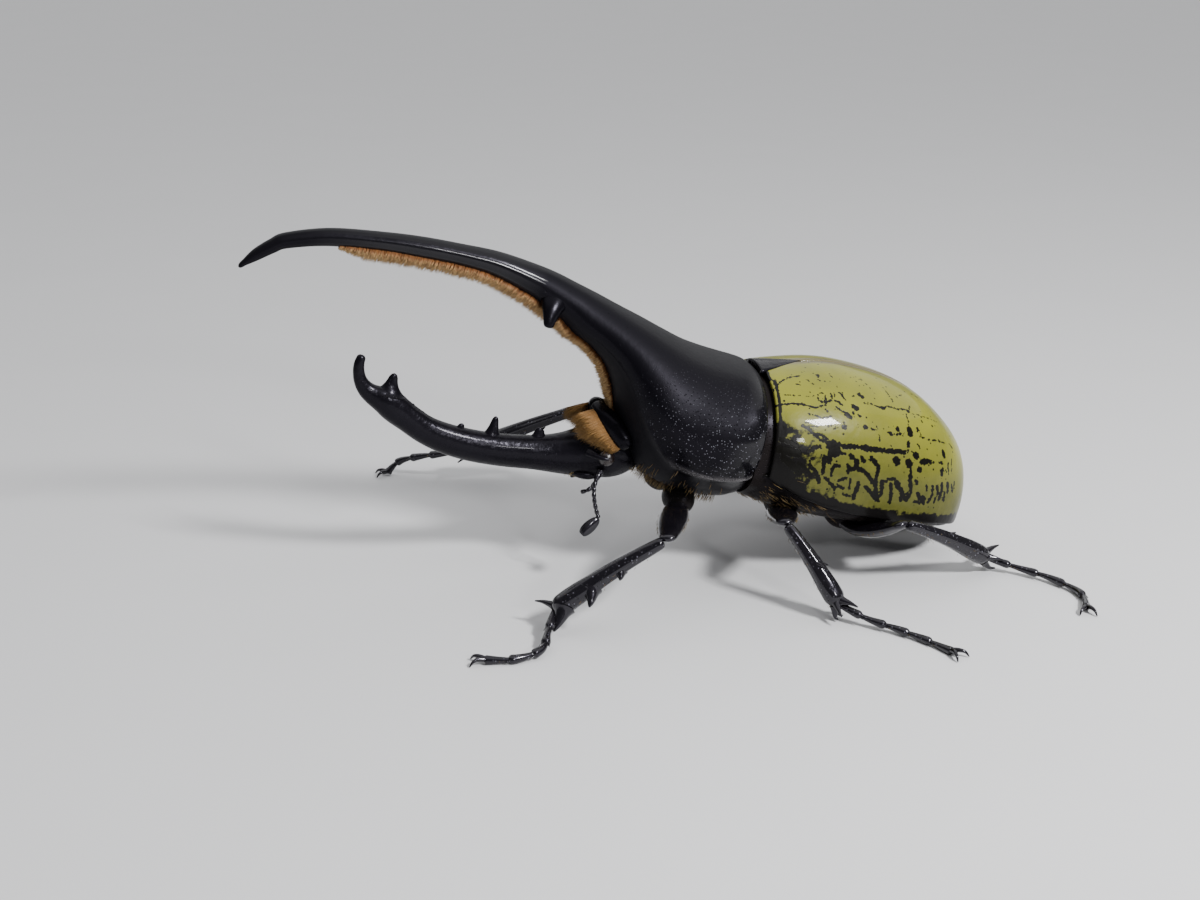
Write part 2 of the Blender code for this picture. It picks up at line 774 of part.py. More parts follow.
def stalk_path(side):
    """World points along an antenna's stalk, as if it were on the right side."""
    points = STALKS[side]
    return [to_world(smooth(points, k * 0.5)) for k in range(2 * (len(points) - 1) + 1)]


def antenna(side, grow=0.0):
    """An antenna's stalk of rounded joints."""
    path = stalk_path(side)
    radii = [STALK_RADIUS * (1.25 if i % 2 else 0.9) + grow for i in range(len(path))]
    return on_side(side, tube(path, radii, sides=6))


def club_leaf(side, index):
    """One of the flat leaves of the club at the stalk's end."""
    offset = (index - (CLUB_LEAVES - 1) / 2.0) * CLUB_LEAF
    centre = to_world(CLUB_CENTRES[side])
    along = (centre - stalk_path(side)[-1]).normalized()
    across = Vector((0.0, 1.0, 0.0))
    across = (across - along * along.dot(across)).normalized()
    axes = [along, across, along.cross(across)]
    radii = (CLUB_LENGTH / 2.0, CLUB_LEAF * 0.62, CLUB_WIDTH / 2.0)
    return on_side(side, ball(centre + across * offset, radii, axes, segments=8, rings=5))


def feeler(grow=0.0):
    """The right jointed feeler beside the mouth."""
    path = [to_world(point) for point in FEELER]
    radii = [FEELER_RADIUS * share + grow for share in (0.8, 1.1, 1.0, 0.9)]
    return tube(path, radii, sides=6)


def jaw(grow=0.0):
    """The right mandible, a short rounded blade."""
    return body_ball(JAW_CENTRE, JAW_RADII, grow, segments=8, rings=6)


def eye(grow=0.0):
    """The right eye."""
    return body_ball(EYE_CENTRE, (EYE_RADIUS, EYE_RADIUS, EYE_RADIUS), grow, 12, 8)


def on_side(side, shape):
    """A shape made for the right side, or its mirror image for the left."""
    if side == "right":
        return shape
    return mirrored(shape)


def both_sides(make):
    """The right and left copies of a shape, with the names of their sides."""
    right = make()
    left = mirrored(right)
    return (("right", right), ("left", left))


def build_front(model):
    """Upper horn, pronotum, lower horn, head and what the head carries."""
    shell = material("black_shell", BLACK, 0.18)
    satin = material("satin_shell", SATIN_BLACK, 0.42)
    middle, middle_rearward = parting_plane(HORN_MIDDLE_STATION)
    root, root_rearward = parting_plane(HORN_ROOT_STATION)
    front = model.node("thoracic_horn_front", upper_body(), shell)
    extra = [brush_core(BRUSH_CORE_SHARE)]
    extra += [shape for _, shape in both_sides(side_tooth)]
    extra += brush_locks()
    fused(front, extra)
    rear = model.copy("thoracic_horn_rear", front, shell)
    pronotum = model.copy("pronotum", front, satin)
    sliced(front, middle - middle_rearward * HALF_GAP, middle_rearward)
    sliced(rear, middle + middle_rearward * HALF_GAP, -middle_rearward)
    sliced(rear, root - root_rearward * HALF_GAP, root_rearward)
    sliced(pronotum, root + root_rearward * HALF_GAP, -root_rearward)
    model.finish(front)
    model.finish(rear)
    cutters = [head_shape(GAP)]
    for leg in LEGS.values():
        if leg["kind"] == "front":
            cutters += [hip_shape(leg, GAP), thigh_shape(leg, GAP)]
    carved(pronotum, cutters)
    model.finish(pronotum)

    along = body_axes()[0]
    cut_at = to_world((HEAD_PLANE_U, 0.0, LOWER_HORN[-2][0][1]))
    horn = slice_off(lower_horn(), cut_at - along * HALF_GAP, along)
    cephalic = model.node("cephalic_horn", horn, shell)
    fused(cephalic, [lower_tooth(*tooth) for tooth in LOWER_TEETH])
    model.finish(cephalic)

    head = model.node("head", head_shape(), shell)
    face = body_ball(FACE_CENTRE, FACE_RADII, segments=12, rings=8)
    stub = lower_horn()
    fused(head, [face, stub])
    sliced(head, cut_at + along * HALF_GAP, -along)
    cutters = []
    for make in (eye, feeler, jaw):
        cutters += [shape for _, shape in both_sides(lambda: make(GAP))]
    cutters += [antenna(side, GAP) for side in STALKS]
    carved(head, cutters)
    model.finish(head)

    for side, shape in both_sides(eye):
        model.finish(model.node(f"eye_{side}", shape, material("eye", EYE_BROWN, 0.12)))
    for side, shape in both_sides(jaw):
        model.finish(model.node(f"mandible_{side}", shape, shell))
    for side, shape in both_sides(feeler):
        model.finish(model.node(f"palp_{side}", shape, shell))
    for side in STALKS:
        made = model.node(f"antenna_{side}", antenna(side), shell)
        fused(made, [club_leaf(side, index) for index in range(CLUB_LEAVES)])
        model.finish(made)


def rear_point(place, angle, inset=0.0):
    """A body-frame point of the outer surface over the rear trunk.

    place counts the stations of the ridge and rim; angle is 0 on the ridge, a quarter turn at
    the rim and a half turn under the belly. inset sinks the point along the surface's normal.
    """

    def surface(at, turn):
        ridge = smooth(RIDGE, at)
        rim = smooth(RIM, at)
        sine = math.sin(turn)
        cosine = math.cos(turn)
        exponent = 2.0 / CASE_POWER
        end = ridge if cosine > 0.0 else smooth(BELLY, at)
        share = abs(cosine) ** exponent
        u = rim[0] + (end[0] - rim[0]) * share
        w = rim[2] + (end[1] - rim[2]) * share
        return Vector((u, rim[1] * power(sine, exponent), w))

    point = surface(place, angle)
    if not inset:
        return point
    step = 0.02
    last = len(RIDGE) - 1
    along = surface(min(place + step, last), angle) - surface(max(place - step, 0.0), angle)
    across = surface(place, angle + step) - surface(place, angle - step)
    normal = across.cross(along).normalized()
    centre = Vector((point.x, 0.0, (smooth(RIM, place)[2])))
    if normal.dot(point - centre) < 0.0:
        normal.negate()
    return point - normal * inset


def wing_case():
    """The right wing case: a thin domed shell with closed edges."""
    last = len(RIDGE) - 1
    rings = []
    for k in range(CASE_RINGS + 1):
        place = last * k / CASE_RINGS
        outer = []
        inner = []
        for i in range(CASE_ROWS + 1):
            angle = math.pi / 2.0 * i / CASE_ROWS
            for row, inset in ((outer, 0.0), (inner, SHELL)):
                point = rear_point(place, angle, inset)
                point.y = max(point.y, HALF_GAP)
                row.append(to_world(point))
        rings.append(outer + inner[::-1])
    shape = bmesh.new()
    rows = skin(shape, rings)
    count = len(rings[0])
    for row in (rows[0], rows[-1]):
        for i in range(count // 2 - 1):
            shape.faces.new((row[i], row[i + 1], row[count - 2 - i], row[count - 1 - i]))
    bmesh.ops.recalc_face_normals(shape, faces=shape.faces)
    bmesh.ops.triangulate(shape, faces=shape.faces)
    return shape


def shield_outline(grow, height):
    """World points round the small shield, height above the ridge line."""
    front = SHIELD_FRONT_U - grow
    tip = SHIELD_TIP_U + grow * 2.0
    half = SHIELD_HALF_WIDTH + grow
    outline = []
    steps = 6
    for k in range(steps + 1):
        share = k / steps
        u = front + (tip - front) * share
        outline.append((u, half * (1.0 - share**1.35)))
    outline += [(u, -v) for u, v in outline[-2::-1]]
    slope = (RIDGE[2][1] - RIDGE[0][1]) / (RIDGE[2][0] - RIDGE[0][0])
    return [to_world((u, v, RIDGE[0][1] + slope * (u - RIDGE[0][0]) + height)) for u, v in outline]


def shield(grow=0.0):
    """The small shield, or its grown form that parts the wing cases."""
    if grow:
        reach = SHELL * 4.0
        return loft([shield_outline(grow, -reach), shield_outline(grow, reach)])
    top = SHIELD_PROUD
    return loft([shield_outline(0.0, top - SHIELD_THICK), shield_outline(0.0, top)])


def rear_trunk():
    """The trunk under the wing cases, from the waist to the rear, in one piece."""
    last = (len(RIDGE) - 1) * TRUNK_SHARE
    rings = []
    for k in range(TRUNK_RINGS + 1):
        place = last * k / TRUNK_RINGS
        ring = []
        for i in range(TRUNK_SIDES):
            angle = 2.0 * math.pi * i / TRUNK_SIDES
            turn = angle if angle <= math.pi else 2.0 * math.pi - angle
            covered = SHELL + GAP if turn <= math.pi / 2.0 + 0.01 else UNDER_INSET
            point = rear_point(place, turn, covered)
            if angle > math.pi:
                point.y = -point.y
            if i in (0, TRUNK_SIDES // 2):
                point.y = 0.0
            ring.append(to_world(point))
        rings.append(ring)
    reach = body_axes()[0] * FRONT_REACH
    rings.insert(0, [point - reach for point in rings[0]])
    return loft(rings)


def waist_plane():
    """The rear face of the pronotum: a point on it and its rearward direction."""
    top, bottom, _, _ = PRONOTUM[-1]
    top = to_world((top[0], 0.0, top[1]))
    bottom = to_world((bottom[0], 0.0, bottom[1]))
    rearward = Vector((0.0, 1.0, 0.0)).cross((bottom - top).normalized())
    if rearward.x < 0.0:
        rearward.negate()
    return top, rearward


def build_rear(model):
    """Wing cases, the small shield and the trunk under them."""
    olive = material("olive_case", OLIVE, 0.22)
    shell = material("black_shell", BLACK, 0.18)
    for side, shape in both_sides(wing_case):
        case = model.node(f"elytron_{side}", shape, olive)
        carved(case, [shield(GAP)])
        model.finish(case)
    model.finish(model.node("scutellum", shield(), shell))

    along = body_axes()[0]
    point, rearward = waist_plane()
    chest_end = to_world((CHEST_END_U, 0.0, 0.0))
    rump_start = to_world((RUMP_START_U, 0.0, 0.0))
    chest = slice_off(rear_trunk(), point + rearward * GAP, -rearward)
    chest = slice_off(chest, chest_end - along * HALF_GAP, along)
    belly = slice_off(rear_trunk(), chest_end + along * HALF_GAP, -along)
    belly = slice_off(belly, rump_start - along * HALF_GAP, along)
    rump = slice_off(rear_trunk(), rump_start + along * HALF_GAP, -along)
    cutters = {"metathorax": ("middle", "hind"), "abdomen": ("hind",), "pygidium": ()}
    for name, shape in (("metathorax", chest), ("abdomen", belly), ("pygidium", rump)):
        made = model.node(name, shape, shell)
        grown = []
        for leg in LEGS.values():
            if leg["kind"] in cutters[name]:
                grown += [hip_shape(leg, GAP), thigh_shape(leg, GAP)]
        if grown:
            carved(made, grown)
        model.finish(made)


def hip_shape(leg, grow=0.0):
    """The rounded hip piece, long across the body and sunk in the trunk's underside."""
    long, thick = LEG_SIZES[leg["kind"]]["hip"]
    hip = Vector(leg["hip"])
    across = Vector((0.0, 1.0, 0.0))
    axes = [across, Vector((0.0, 0.0, 1.0)), Vector((1.0, 0.0, 0.0))]
    return ball(hip, (long, thick, thick), axes, grow)


def thigh_path(leg):
    """World points from the hip to the knee, hanging a little below the straight line."""
    hip = Vector(leg["hip"])
    knee = Vector(leg["knee"])
    sag = LEG_SIZES[leg["kind"]]["sag"]
    points = []
    for share in THIGH_SHARES:
        point = hip.lerp(knee, share)
        point.z -= sag * math.sin(math.pi * share) + (1.0 - share) * LEG_SIZES[leg["kind"]]["drop"]
        points.append(point)
    return points


def thigh_shape(leg, grow=0.0):
    """The broad flat thigh."""
    path = thigh_path(leg)
    size = LEG_SIZES[leg["kind"]]["thigh"]
    radii = [size * share + grow for share in THIGH_RADII]
    along = path[-1] - path[0]
    side = along.cross(Vector((0.0, 0.0, 1.0))).normalized()
    flat = THIGH_FLAT if not grow else THIGH_FLAT + grow / size
    return tube(path, radii, sides=10, flat=flat, side_axis=side)


def shin_path(leg):
    """World points from the knee to the ankle."""
    knee = Vector(leg["knee"])
    ankle = Vector(leg["ankle"])
    return [knee.lerp(ankle, share) for share in SHIN_SHARES]


def shin_shape(leg, grow=0.0):
    """The shin, slim at the knee and wide at its end."""
    path = shin_path(leg)
    size = LEG_SIZES[leg["kind"]]["shin"]
    radii = [size * share + grow for share in SHIN_RADII]
    return tube(path, radii, sides=LIMB_SIDES)


def shin_spine(leg, share, lean, turn, length, radius):
    """One tooth or spine on a shin, leaning towards the foot."""
    knee = Vector(leg["knee"])
    ankle = Vector(leg["ankle"])
    ahead = (ankle - knee).normalized()
    if leg["kind"] == "front":
        outer = Vector((0.0, math.copysign(1.0, knee.y), -FRONT_TOOTH_DROP))
    else:
        outer = Vector((0.0, 0.0, 1.0))
    outer = (outer - ahead * ahead.dot(outer)).normalized()
    away = Matrix.Rotation(math.radians(turn), 3, ahead) @ outer
    size = LEG_SIZES[leg["kind"]]["shin"]
    place = min(share, 0.97)
    around = size * smooth([(part,) for part in SHIN_RADII], place * (len(SHIN_RADII) - 1))[0]
    root = knee.lerp(ankle, share) + away * (around * SPINE_ROOT)
    point = (away + ahead * lean).normalized()
    bend = root + point * (around * SPINE_ROOT + length * 0.45)
    tip = root + (point + ahead * SPINE_HOOK).normalized() * (around * 0.55 + length)
    bend.z = max(bend.z, FLOOR_Z + SPINE_CLEAR + radius * 0.6)
    tip.z = max(tip.z, FLOOR_Z + SPINE_CLEAR)
    return tube([root, bend, tip], [radius, radius * 0.72, SPINE_TIP], sides=5)


def foot_path(leg):
    """World points along the foot, with two for each of its joints."""
    points = [leg["ankle"], *leg["foot"]]
    last = len(points) - 1
    return [Vector(smooth(points, last * k / (2 * FOOT_JOINTS - 1))) for k in range(2 * FOOT_JOINTS)]


def foot_shape(leg, grow=0.0, start=0):
    """The foot's five joints, each widening towards its end; start leaves out its root."""
    size = LEG_SIZES[leg["kind"]]["foot"]
    radii = [size * (0.62 if k % 2 == 0 else 1.0) + grow for k in range(2 * FOOT_JOINTS)]
    return tube(foot_path(leg)[start:], radii[start:], sides=FOOT_SIDES)


def claw(leg, turn):
    """One of the two hooked claws at the end of a foot."""
    path = foot_path(leg)
    end = path[-1]
    ahead = path[-1] - path[-3]
    ahead.z = 0.0
    ahead.normalize()
    out = Matrix.Rotation(turn, 3, "Z") @ ahead
    arch = Vector((0.0, 0.0, CLAW_LENGTH * 0.22))
    points = [
        end - ahead * CLAW_RADIUS * 2.0,
        end + out * CLAW_LENGTH * 0.35 + arch * 0.7,
        end + out * CLAW_LENGTH * 0.75 + arch * 0.4,
        end + out * CLAW_LENGTH - Vector((0.0, 0.0, end.z - 0.15)),
    ]
    radii = [CLAW_RADIUS * share for share in (1.1, 1.0, 0.8, 0.3)]
    return tube(points, radii, sides=5)


def build_legs(model):
    """Hip piece, thigh, shin and foot of all six legs, each a node of its own."""
    shell = material("black_shell", BLACK, 0.18)
    for name, leg in LEGS.items():
        model.finish(model.node(f"coxa_{name}", hip_shape(leg), shell))
        thigh = model.node(f"femur_{name}", thigh_shape(leg), shell)
        carved(thigh, [hip_shape(leg, GAP)])
        model.finish(thigh)
        shin = model.node(f"tibia_{name}", shin_shape(leg), shell)
        fused(shin, [shin_spine(leg, *spine) for spine in SHIN_SPINES[leg["kind"]]])
        carved(shin, [thigh_shape(leg, GAP), foot_shape(leg, GAP, start=1)])
        model.finish(shin)
        foot = model.node(f"tarsus_{name}", foot_shape(leg), shell)
        fused(foot, [claw(leg, CLAW_SPREAD), claw(leg, -CLAW_SPREAD)])
        carved(foot, [shin_shape(leg, GAP)])
        sliced(foot, (0.0, 0.0, FLOOR_Z), (0.0, 0.0, -1.0))
        model.finish(foot)


def stand_on_origin(model):
    """Moves the whole model so that the middle of its box stands over the origin."""
    low = Vector((math.inf, math.inf, math.inf))
    high = -low
    for item in model.parts.objects:
        for vert in item.data.vertices:
            for k in range(3):
                low[k] = min(low[k], vert.co[k])
                high[k] = max(high[k], vert.co[k])
    shift = Matrix.Translation((-(low.x + high.x) / 2.0, -(low.y + high.y) / 2.0, -low.z))
    for item in model.parts.objects:
        item.data.transform(shift)


def main():
    for old in list(bpy.data.objects):
        bpy.data.objects.remove(old)
    model = Model()
    build_front(model)
    build_rear(model)
    build_legs(model)
    stand_on_origin(model)


if __name__ == "__main__":
    main()
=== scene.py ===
"""A still, life-size hercules beetle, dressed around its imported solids."""
import math
import random

import bmesh
import bpy
import numpy
from bpy.props import FloatProperty, FloatVectorProperty, IntProperty, PointerProperty
from mathutils import Matrix, Vector, noise


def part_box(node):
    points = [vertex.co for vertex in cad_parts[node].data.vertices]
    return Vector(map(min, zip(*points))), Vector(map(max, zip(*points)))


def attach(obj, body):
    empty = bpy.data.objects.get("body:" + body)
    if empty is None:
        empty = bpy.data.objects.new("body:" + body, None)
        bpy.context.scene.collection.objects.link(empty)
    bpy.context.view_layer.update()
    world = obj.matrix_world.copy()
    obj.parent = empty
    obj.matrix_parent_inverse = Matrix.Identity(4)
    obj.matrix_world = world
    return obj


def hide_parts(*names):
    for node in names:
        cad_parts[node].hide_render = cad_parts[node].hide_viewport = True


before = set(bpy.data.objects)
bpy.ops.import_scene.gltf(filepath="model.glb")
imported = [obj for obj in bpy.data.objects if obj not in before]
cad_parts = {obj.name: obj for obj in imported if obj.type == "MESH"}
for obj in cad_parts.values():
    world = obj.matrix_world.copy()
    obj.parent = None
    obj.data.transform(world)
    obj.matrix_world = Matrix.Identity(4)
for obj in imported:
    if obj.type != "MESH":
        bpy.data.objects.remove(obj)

bl_info = {
    "name": "Hercules beetle",
    "version": (1, 0, 0),
    "blender": (4, 5, 0),
    "location": "3D View > Sidebar > Beetle",
    "description": "Dresses the packed solids of a hercules beetle with its shell, marks and hair",
    "category": "Object",
}

MM = 0.001
BODY = "root"
SIDES = ("left", "right")

# The body's own frame: u runs back along it, v to its right, w up; in millimetres.
PITCH = math.radians(12.0)
WAIST = Vector((30.0, 0.0, 26.0))
BODY_TURN = Matrix.Rotation(PITCH, 3, "Y")
UP = Vector((0.0, 0.0, 1.0))

# Upper horn and pronotum: top and bottom point, half width, share of the height at the widest.
UPPER_HORN_TIP = (-101.0, 17.2)
UPPER_HORN = (
    ((-100.5, 18.5), (-99.9, 17.6), 0.65, 0.50),
    ((-98.9, 20.7), (-97.8, 18.9), 1.00, 0.50),
    ((-96.4, 22.9), (-95.1, 20.7), 1.25, 0.50),
    ((-93.9, 24.5), (-93.0, 21.8), 1.45, 0.50),
    ((-86.3, 26.5), (-85.9, 23.3), 1.70, 0.50),
    ((-76.5, 27.3), (-76.5, 23.8), 1.90, 0.50),
    ((-69.6, 27.5), (-69.7, 23.6), 2.10, 0.50),
    ((-62.7, 27.3), (-62.8, 23.3), 2.35, 0.50),
    ((-55.3, 26.9), (-56.3, 22.3), 2.80, 0.50),
    ((-47.9, 25.6), (-49.6, 19.9), 3.60, 0.50),
    ((-43.8, 24.6), (-46.2, 18.2), 4.20, 0.50),
    ((-40.1, 23.4), (-42.7, 16.3), 4.90, 0.52),
)
PRONOTUM = (
    ((-35.5, 21.9), (-39.7, 14.2), 6.2, 0.55),
    ((-31.0, 20.3), (-36.0, 12.3), 8.0, 0.58),
    ((-26.0, 18.6), (-32.6, 9.4), 10.4, 0.60),
    ((-21.0, 16.8), (-30.3, 5.4), 13.0, 0.61),
    ((-16.5, 15.3), (-28.8, 1.0), 15.2, 0.60),
    ((-12.2, 14.4), (-26.4, -4.2), 16.8, 0.59),
    ((-8.6, 13.9), (-22.5, -9.8), 17.7, 0.57),
    ((-5.6, 13.5), (-14.5, -13.0), 18.0, 0.53),
    ((-3.6, 13.1), (-7.0, -13.6), 17.7, 0.50),
    ((-2.6, 12.4), (-4.2, -12.8), 16.9, 0.50),
)
# How square the sections are above and below their widest line.
TOP_POWER = 2.15
LOW_POWER = 1.9
UPPER_LAST = len(UPPER_HORN) + len(PRONOTUM) - 1
# Where the drawing has the front end of the upper horn, to find how far the pack was moved.
RAW_TIP_X = -65.217
UPPER_SIDES = 144
UPPER_STEPS = 230
TIP_RINGS = 9
# How the rear closes: share of the last section, and the way back from it.
REAR_CLOSING = ((0.985, 0.20), (0.955, 0.25), (0.93, 0.10), (0.90, -0.5), (0.5, -1.2), (0.0, -1.2))

# The side teeth of the upper horn, from their roots to their tips.
SIDE_TOOTH = ((-43.2, -0.6, 21.3), (-44.3, 2.4, 20.3), (-45.1, 4.9, 18.3), (-45.5, 6.2, 15.6))
SIDE_TOOTH_RADII = (3.5, 3.0, 1.7, 0.85)

# The brush under the upper horn, in the stations of the horn and pronotum.
BRUSH_START = 4.2
BRUSH_END = 16.6
BRUSH_HALF_WIDTH = 2.6
BRUSH_WIDTH_SHARE = 0.62
# Places along the brush to draw from, over the whole horn and pronotum.
BRUSH_PLACES = 900

# Lower horn and head: centre, radius up and down, and the share of it across.
LOWER_HORN = (
    (-77.15, 3.70, 0.84, 0.86),
    (-77.30, 2.75, 0.96, 0.86),
    (-77.20, 1.40, 1.06, 0.86),
    (-76.65, -0.30, 1.22, 0.85),
    (-75.55, -1.75, 1.52, 0.84),
    (-73.95, -2.80, 1.92, 0.83),
    (-71.40, -3.75, 2.62, 0.82),
    (-69.30, -5.00, 2.78, 0.82),
    (-66.60, -6.55, 2.66, 0.82),
    (-63.10, -8.35, 2.70, 0.82),
    (-59.10, -9.55, 2.90, 0.82),
    (-54.00, -10.30, 3.05, 0.82),
    (-48.10, -10.50, 3.15, 0.82),
    (-41.90, -10.20, 3.35, 0.82),
    (-37.60, -9.85, 3.85, 0.84),
    (-34.20, -9.30, 4.50, 0.92),
    (-31.00, -8.50, 5.15, 1.03),
    (-28.20, -7.70, 5.50, 1.14),
    (-25.40, -7.20, 5.05, 1.22),
    (-23.00, -6.90, 3.75, 1.30),
    (-21.60, -6.80, 1.60, 1.40),
)
LOWER_SIDES = 80
LOWER_STEPS = 190
# From the first ring's middle to the blunt tip.
LOWER_TIP_CAP = (0.12, 0.0, 0.72)
# Teeth of the lower horn: tip, front and rear of the root, and half width.
LOWER_TEETH = (
    ((-70.6, 1.75), (-73.05, -1.2), (-68.85, -1.5), 1.25),
    ((-66.2, -3.55), (-67.3, -4.9), (-65.2, -5.3), 0.40),
    ((-64.2, -4.75), (-65.3, -6.0), (-63.2, -6.4), 0.35),
    ((-61.4, -6.0), (-62.5, -7.4), (-60.4, -7.6), 0.35),
    ((-56.5, -6.2), (-58.4, -8.0), (-55.2, -8.1), 0.80),
    ((-50.3, -4.0), (-52.2, -7.5), (-48.7, -7.7), 1.20),
    ((-46.2, -7.25), (-47.2, -8.6), (-45.2, -8.6), 0.45),
    ((-41.5, -5.1), (-43.6, -7.5), (-39.1, -7.6), 1.10),
)
# The rolled front edge of the pronotum over the neck, from the middle outwards and down.
NECK_EDGE = ((-34.2, 0.0, 0.5), (-33.1, 2.8, -0.4), (-30.7, 5.2, -2.3), (-28.0, 7.0, -5.1))
NECK_ROLL = 2.2
NECK_ROLL_BACK = (2.5, 0.0, 0.2)
FACE_CENTRE = (-32.6, 0.0, -11.0)
FACE_RADII = (3.0, 3.9, 2.0)
EYE_CENTRE = (-29.4, 6.4, -7.6)
EYE_RADIUS = 1.55
# The bar that crosses the eye, from the eye's middle, and its radii.
EYE_BAR = ((-3.4, -1.6, 0.2), (-2.0, 0.6, 0.3), (-0.9, 1.35, 0.3), (0.1, 1.5, 0.3))
EYE_BAR_RADII = (0.75, 0.55, 0.42, 0.28)
STALKS = {
    "left": ((-29.6, 5.2, -10.4), (-30.9, 7.4, -13.2), (-30.4, 8.4, -16.2), (-29.2, 8.8, -18.9)),
    "right": ((-29.6, 5.2, -10.4), (-30.4, 8.0, -11.6), (-31.8, 10.6, -12.2), (-33.6, 12.4, -12.4)),
}
CLUB_CENTRES = {"left": (-30.6, 9.0, -20.6), "right": (-35.6, 13.2, -12.6)}
CLUB_LEAF = (2.25, 0.36, 0.98)
CLUB_LEAF_GAP = 0.58
CLUB_FAN = 7.0
STALK_BEADS = 9.0
FEELER_BEADS = 4.0
JAW_CENTRE = (-32.2, 2.5, -12.6)
JAW_LINE = ((2.4, 0.4, 0.2), (0.9, 0.9, 0.1), (-0.9, 0.7, 0.0), (-2.4, -0.5, -0.1))
JAW_RADII = (0.8, 0.95, 0.75, 0.35)
FEELER = ((-29.4, 3.0, -12.2), (-29.9, 3.9, -13.8), (-30.9, 4.3, -15.0), (-32.4, 4.5, -15.6))

# The rear of the body: its ridge, its widest line and its belly, at eleven stations.
RIDGE = (
    (-1.2, 12.9), (3.7, 14.1), (10.6, 15.3), (17.0, 15.4), (25.0, 14.4), (31.6, 12.4),
    (37.2, 9.1), (41.9, 4.9), (44.8, -0.4), (46.7, -6.0), (47.3, -11.4),
)
RIM = (
    (-0.9, 17.0, -3.9), (3.5, 18.4, -5.9), (9.6, 19.3, -7.4), (16.2, 19.7, -8.3),
    (23.6, 19.6, -8.8), (30.0, 18.9, -9.0), (35.6, 17.2, -9.2), (40.4, 14.3, -9.9),
    (43.6, 10.2, -10.7), (45.9, 5.4, -11.8), (47.0, 0.9, -12.5),
)
BELLY = (
    (-3.6, -12.4), (2.6, -13.7), (9.6, -14.3), (16.6, -14.5), (24.0, -14.4), (30.6, -14.3),
    (36.4, -14.2), (41.0, -14.2), (44.2, -14.1), (46.0, -13.9), (47.0, -13.6),
)
CASE_POWER = 2.35
CASE_LAST = len(RIDGE) - 1
CASE_THICK = 0.9
HALF_GAP = 0.15
CASE_COLUMNS = 220
CASE_ROWS = 110
# Millimetres along the wing case for one station, near its front.
STATION = 4.6
# The folded lower edge of a case, from its rim.
CASE_HEM = ((0.0, -0.10, -0.28), (0.0, -0.38, -0.42), (0.0, -0.80, -0.34))
CASE_SEEDS = {"left": 3, "right": 8}
TRUNK_COLUMNS = 150
TRUNK_SIDES = 96
# Furrows across the belly: where they start, their spacing in stations, and their depth.
FURROW_START = 4.2
FURROW_STEP = 0.92
FURROW_DEPTH = 0.35
CUT_GAP = 0.1
TRUNK_SHARE = 0.93
CHEST_END_U = 20.5
RUMP_START_U = 42.2
SHIELD_FRONT_U = -1.9
SHIELD_TIP_U = 7.6
SHIELD_HALF_WIDTH = 4.3
SHIELD_THICK = 1.1
SHIELD_STEPS = 40

# Hip, knee, ankle and the bends of the foot of each leg, in millimetres over the floor.
LEGS = {
    "front_left": {
        "hip": (10.2, -6.6, 15.4), "knee": (4.5, -31.0, 17.7), "ankle": (-14.9, -26.1, 3.9),
        "foot": ((-17.3, -31.2, 2.1), (-19.4, -35.6, 1.2), (-24.4, -37.2, 0.75), (-29.6, -36.2, 0.7)),
    },
    "middle_left": {
        "hip": (33.6, -6.4, 12.4), "knee": (28.4, -26.2, 16.6), "ankle": (36.1, -34.9, 3.2),
        "foot": ((40.2, -38.9, 1.7), (44.2, -42.9, 1.1), (47.6, -47.4, 0.75), (50.3, -52.7, 0.7)),
    },
    "hind_left": {
        "hip": (46.6, -7.6, 9.6), "knee": (52.0, -26.7, 14.2), "ankle": (71.9, -21.3, 3.0),
        "foot": ((77.2, -24.4, 1.6), (81.7, -29.6, 1.1), (84.2, -36.2, 0.75), (82.2, -42.2, 0.7)),
    },
    "front_right": {
        "hip": (10.2, 6.6, 15.4), "knee": (6.5, 34.2, 21.4), "ankle": (-17.0, 50.0, 7.8),
        "foot": ((-22.2, 52.8, 6.5), (-27.4, 55.8, 5.2), (-31.6, 59.2, 3.2), (-34.4, 59.4, 0.7)),
    },
    "middle_right": {
        "hip": (33.6, 6.4, 12.4), "knee": (30.6, 26.8, 16.4), "ankle": (39.8, 34.6, 3.2),
        "foot": ((44.4, 38.0, 1.7), (49.0, 41.4, 1.1), (53.0, 45.2, 0.75), (56.2, 50.2, 0.7)),
    },
    "hind_right": {
        "hip": (46.6, 7.6, 9.6), "knee": (53.6, 26.4, 13.9), "ankle": (73.0, 19.6, 3.0),
        "foot": ((78.2, 21.4, 1.6), (84.0, 25.0, 1.1), (88.2, 30.4, 0.75), (89.6, 37.6, 0.7)),
    },
}
# The hip's length and thickness, radii of the other parts, the thigh's sag between its ends, and
# how far its root drops and stands back from the hip.
LEG_SIZES = {
    "front": {"hip": (4.2, 3.1), "thigh": 2.75, "sag": 0.0, "drop": 0.8, "back": 3.6,
              "shin": 2.15, "foot": 0.95},
    "middle": {"hip": (4.6, 3.0), "thigh": 2.9, "sag": 0.4, "drop": 0.6, "back": 1.0,
               "shin": 2.0, "foot": 0.85},
    "hind": {"hip": (4.8, 2.9), "thigh": 3.0, "sag": 2.1, "drop": 0.8, "back": 0.0,
             "shin": 2.0, "foot": 0.85},
}
THIGH_RADII = (0.62, 0.80, 0.94, 1.0, 0.98, 0.90, 0.78, 0.64, 0.50)
THIGH_FLAT = 0.52
SHIN_RADII = (0.50, 0.58, 0.62, 0.66, 0.72, 0.78, 0.86, 0.95, 0.98, 0.90)
SHIN_STARTS_AT = 0.03
SHIN_BOW = 0.55
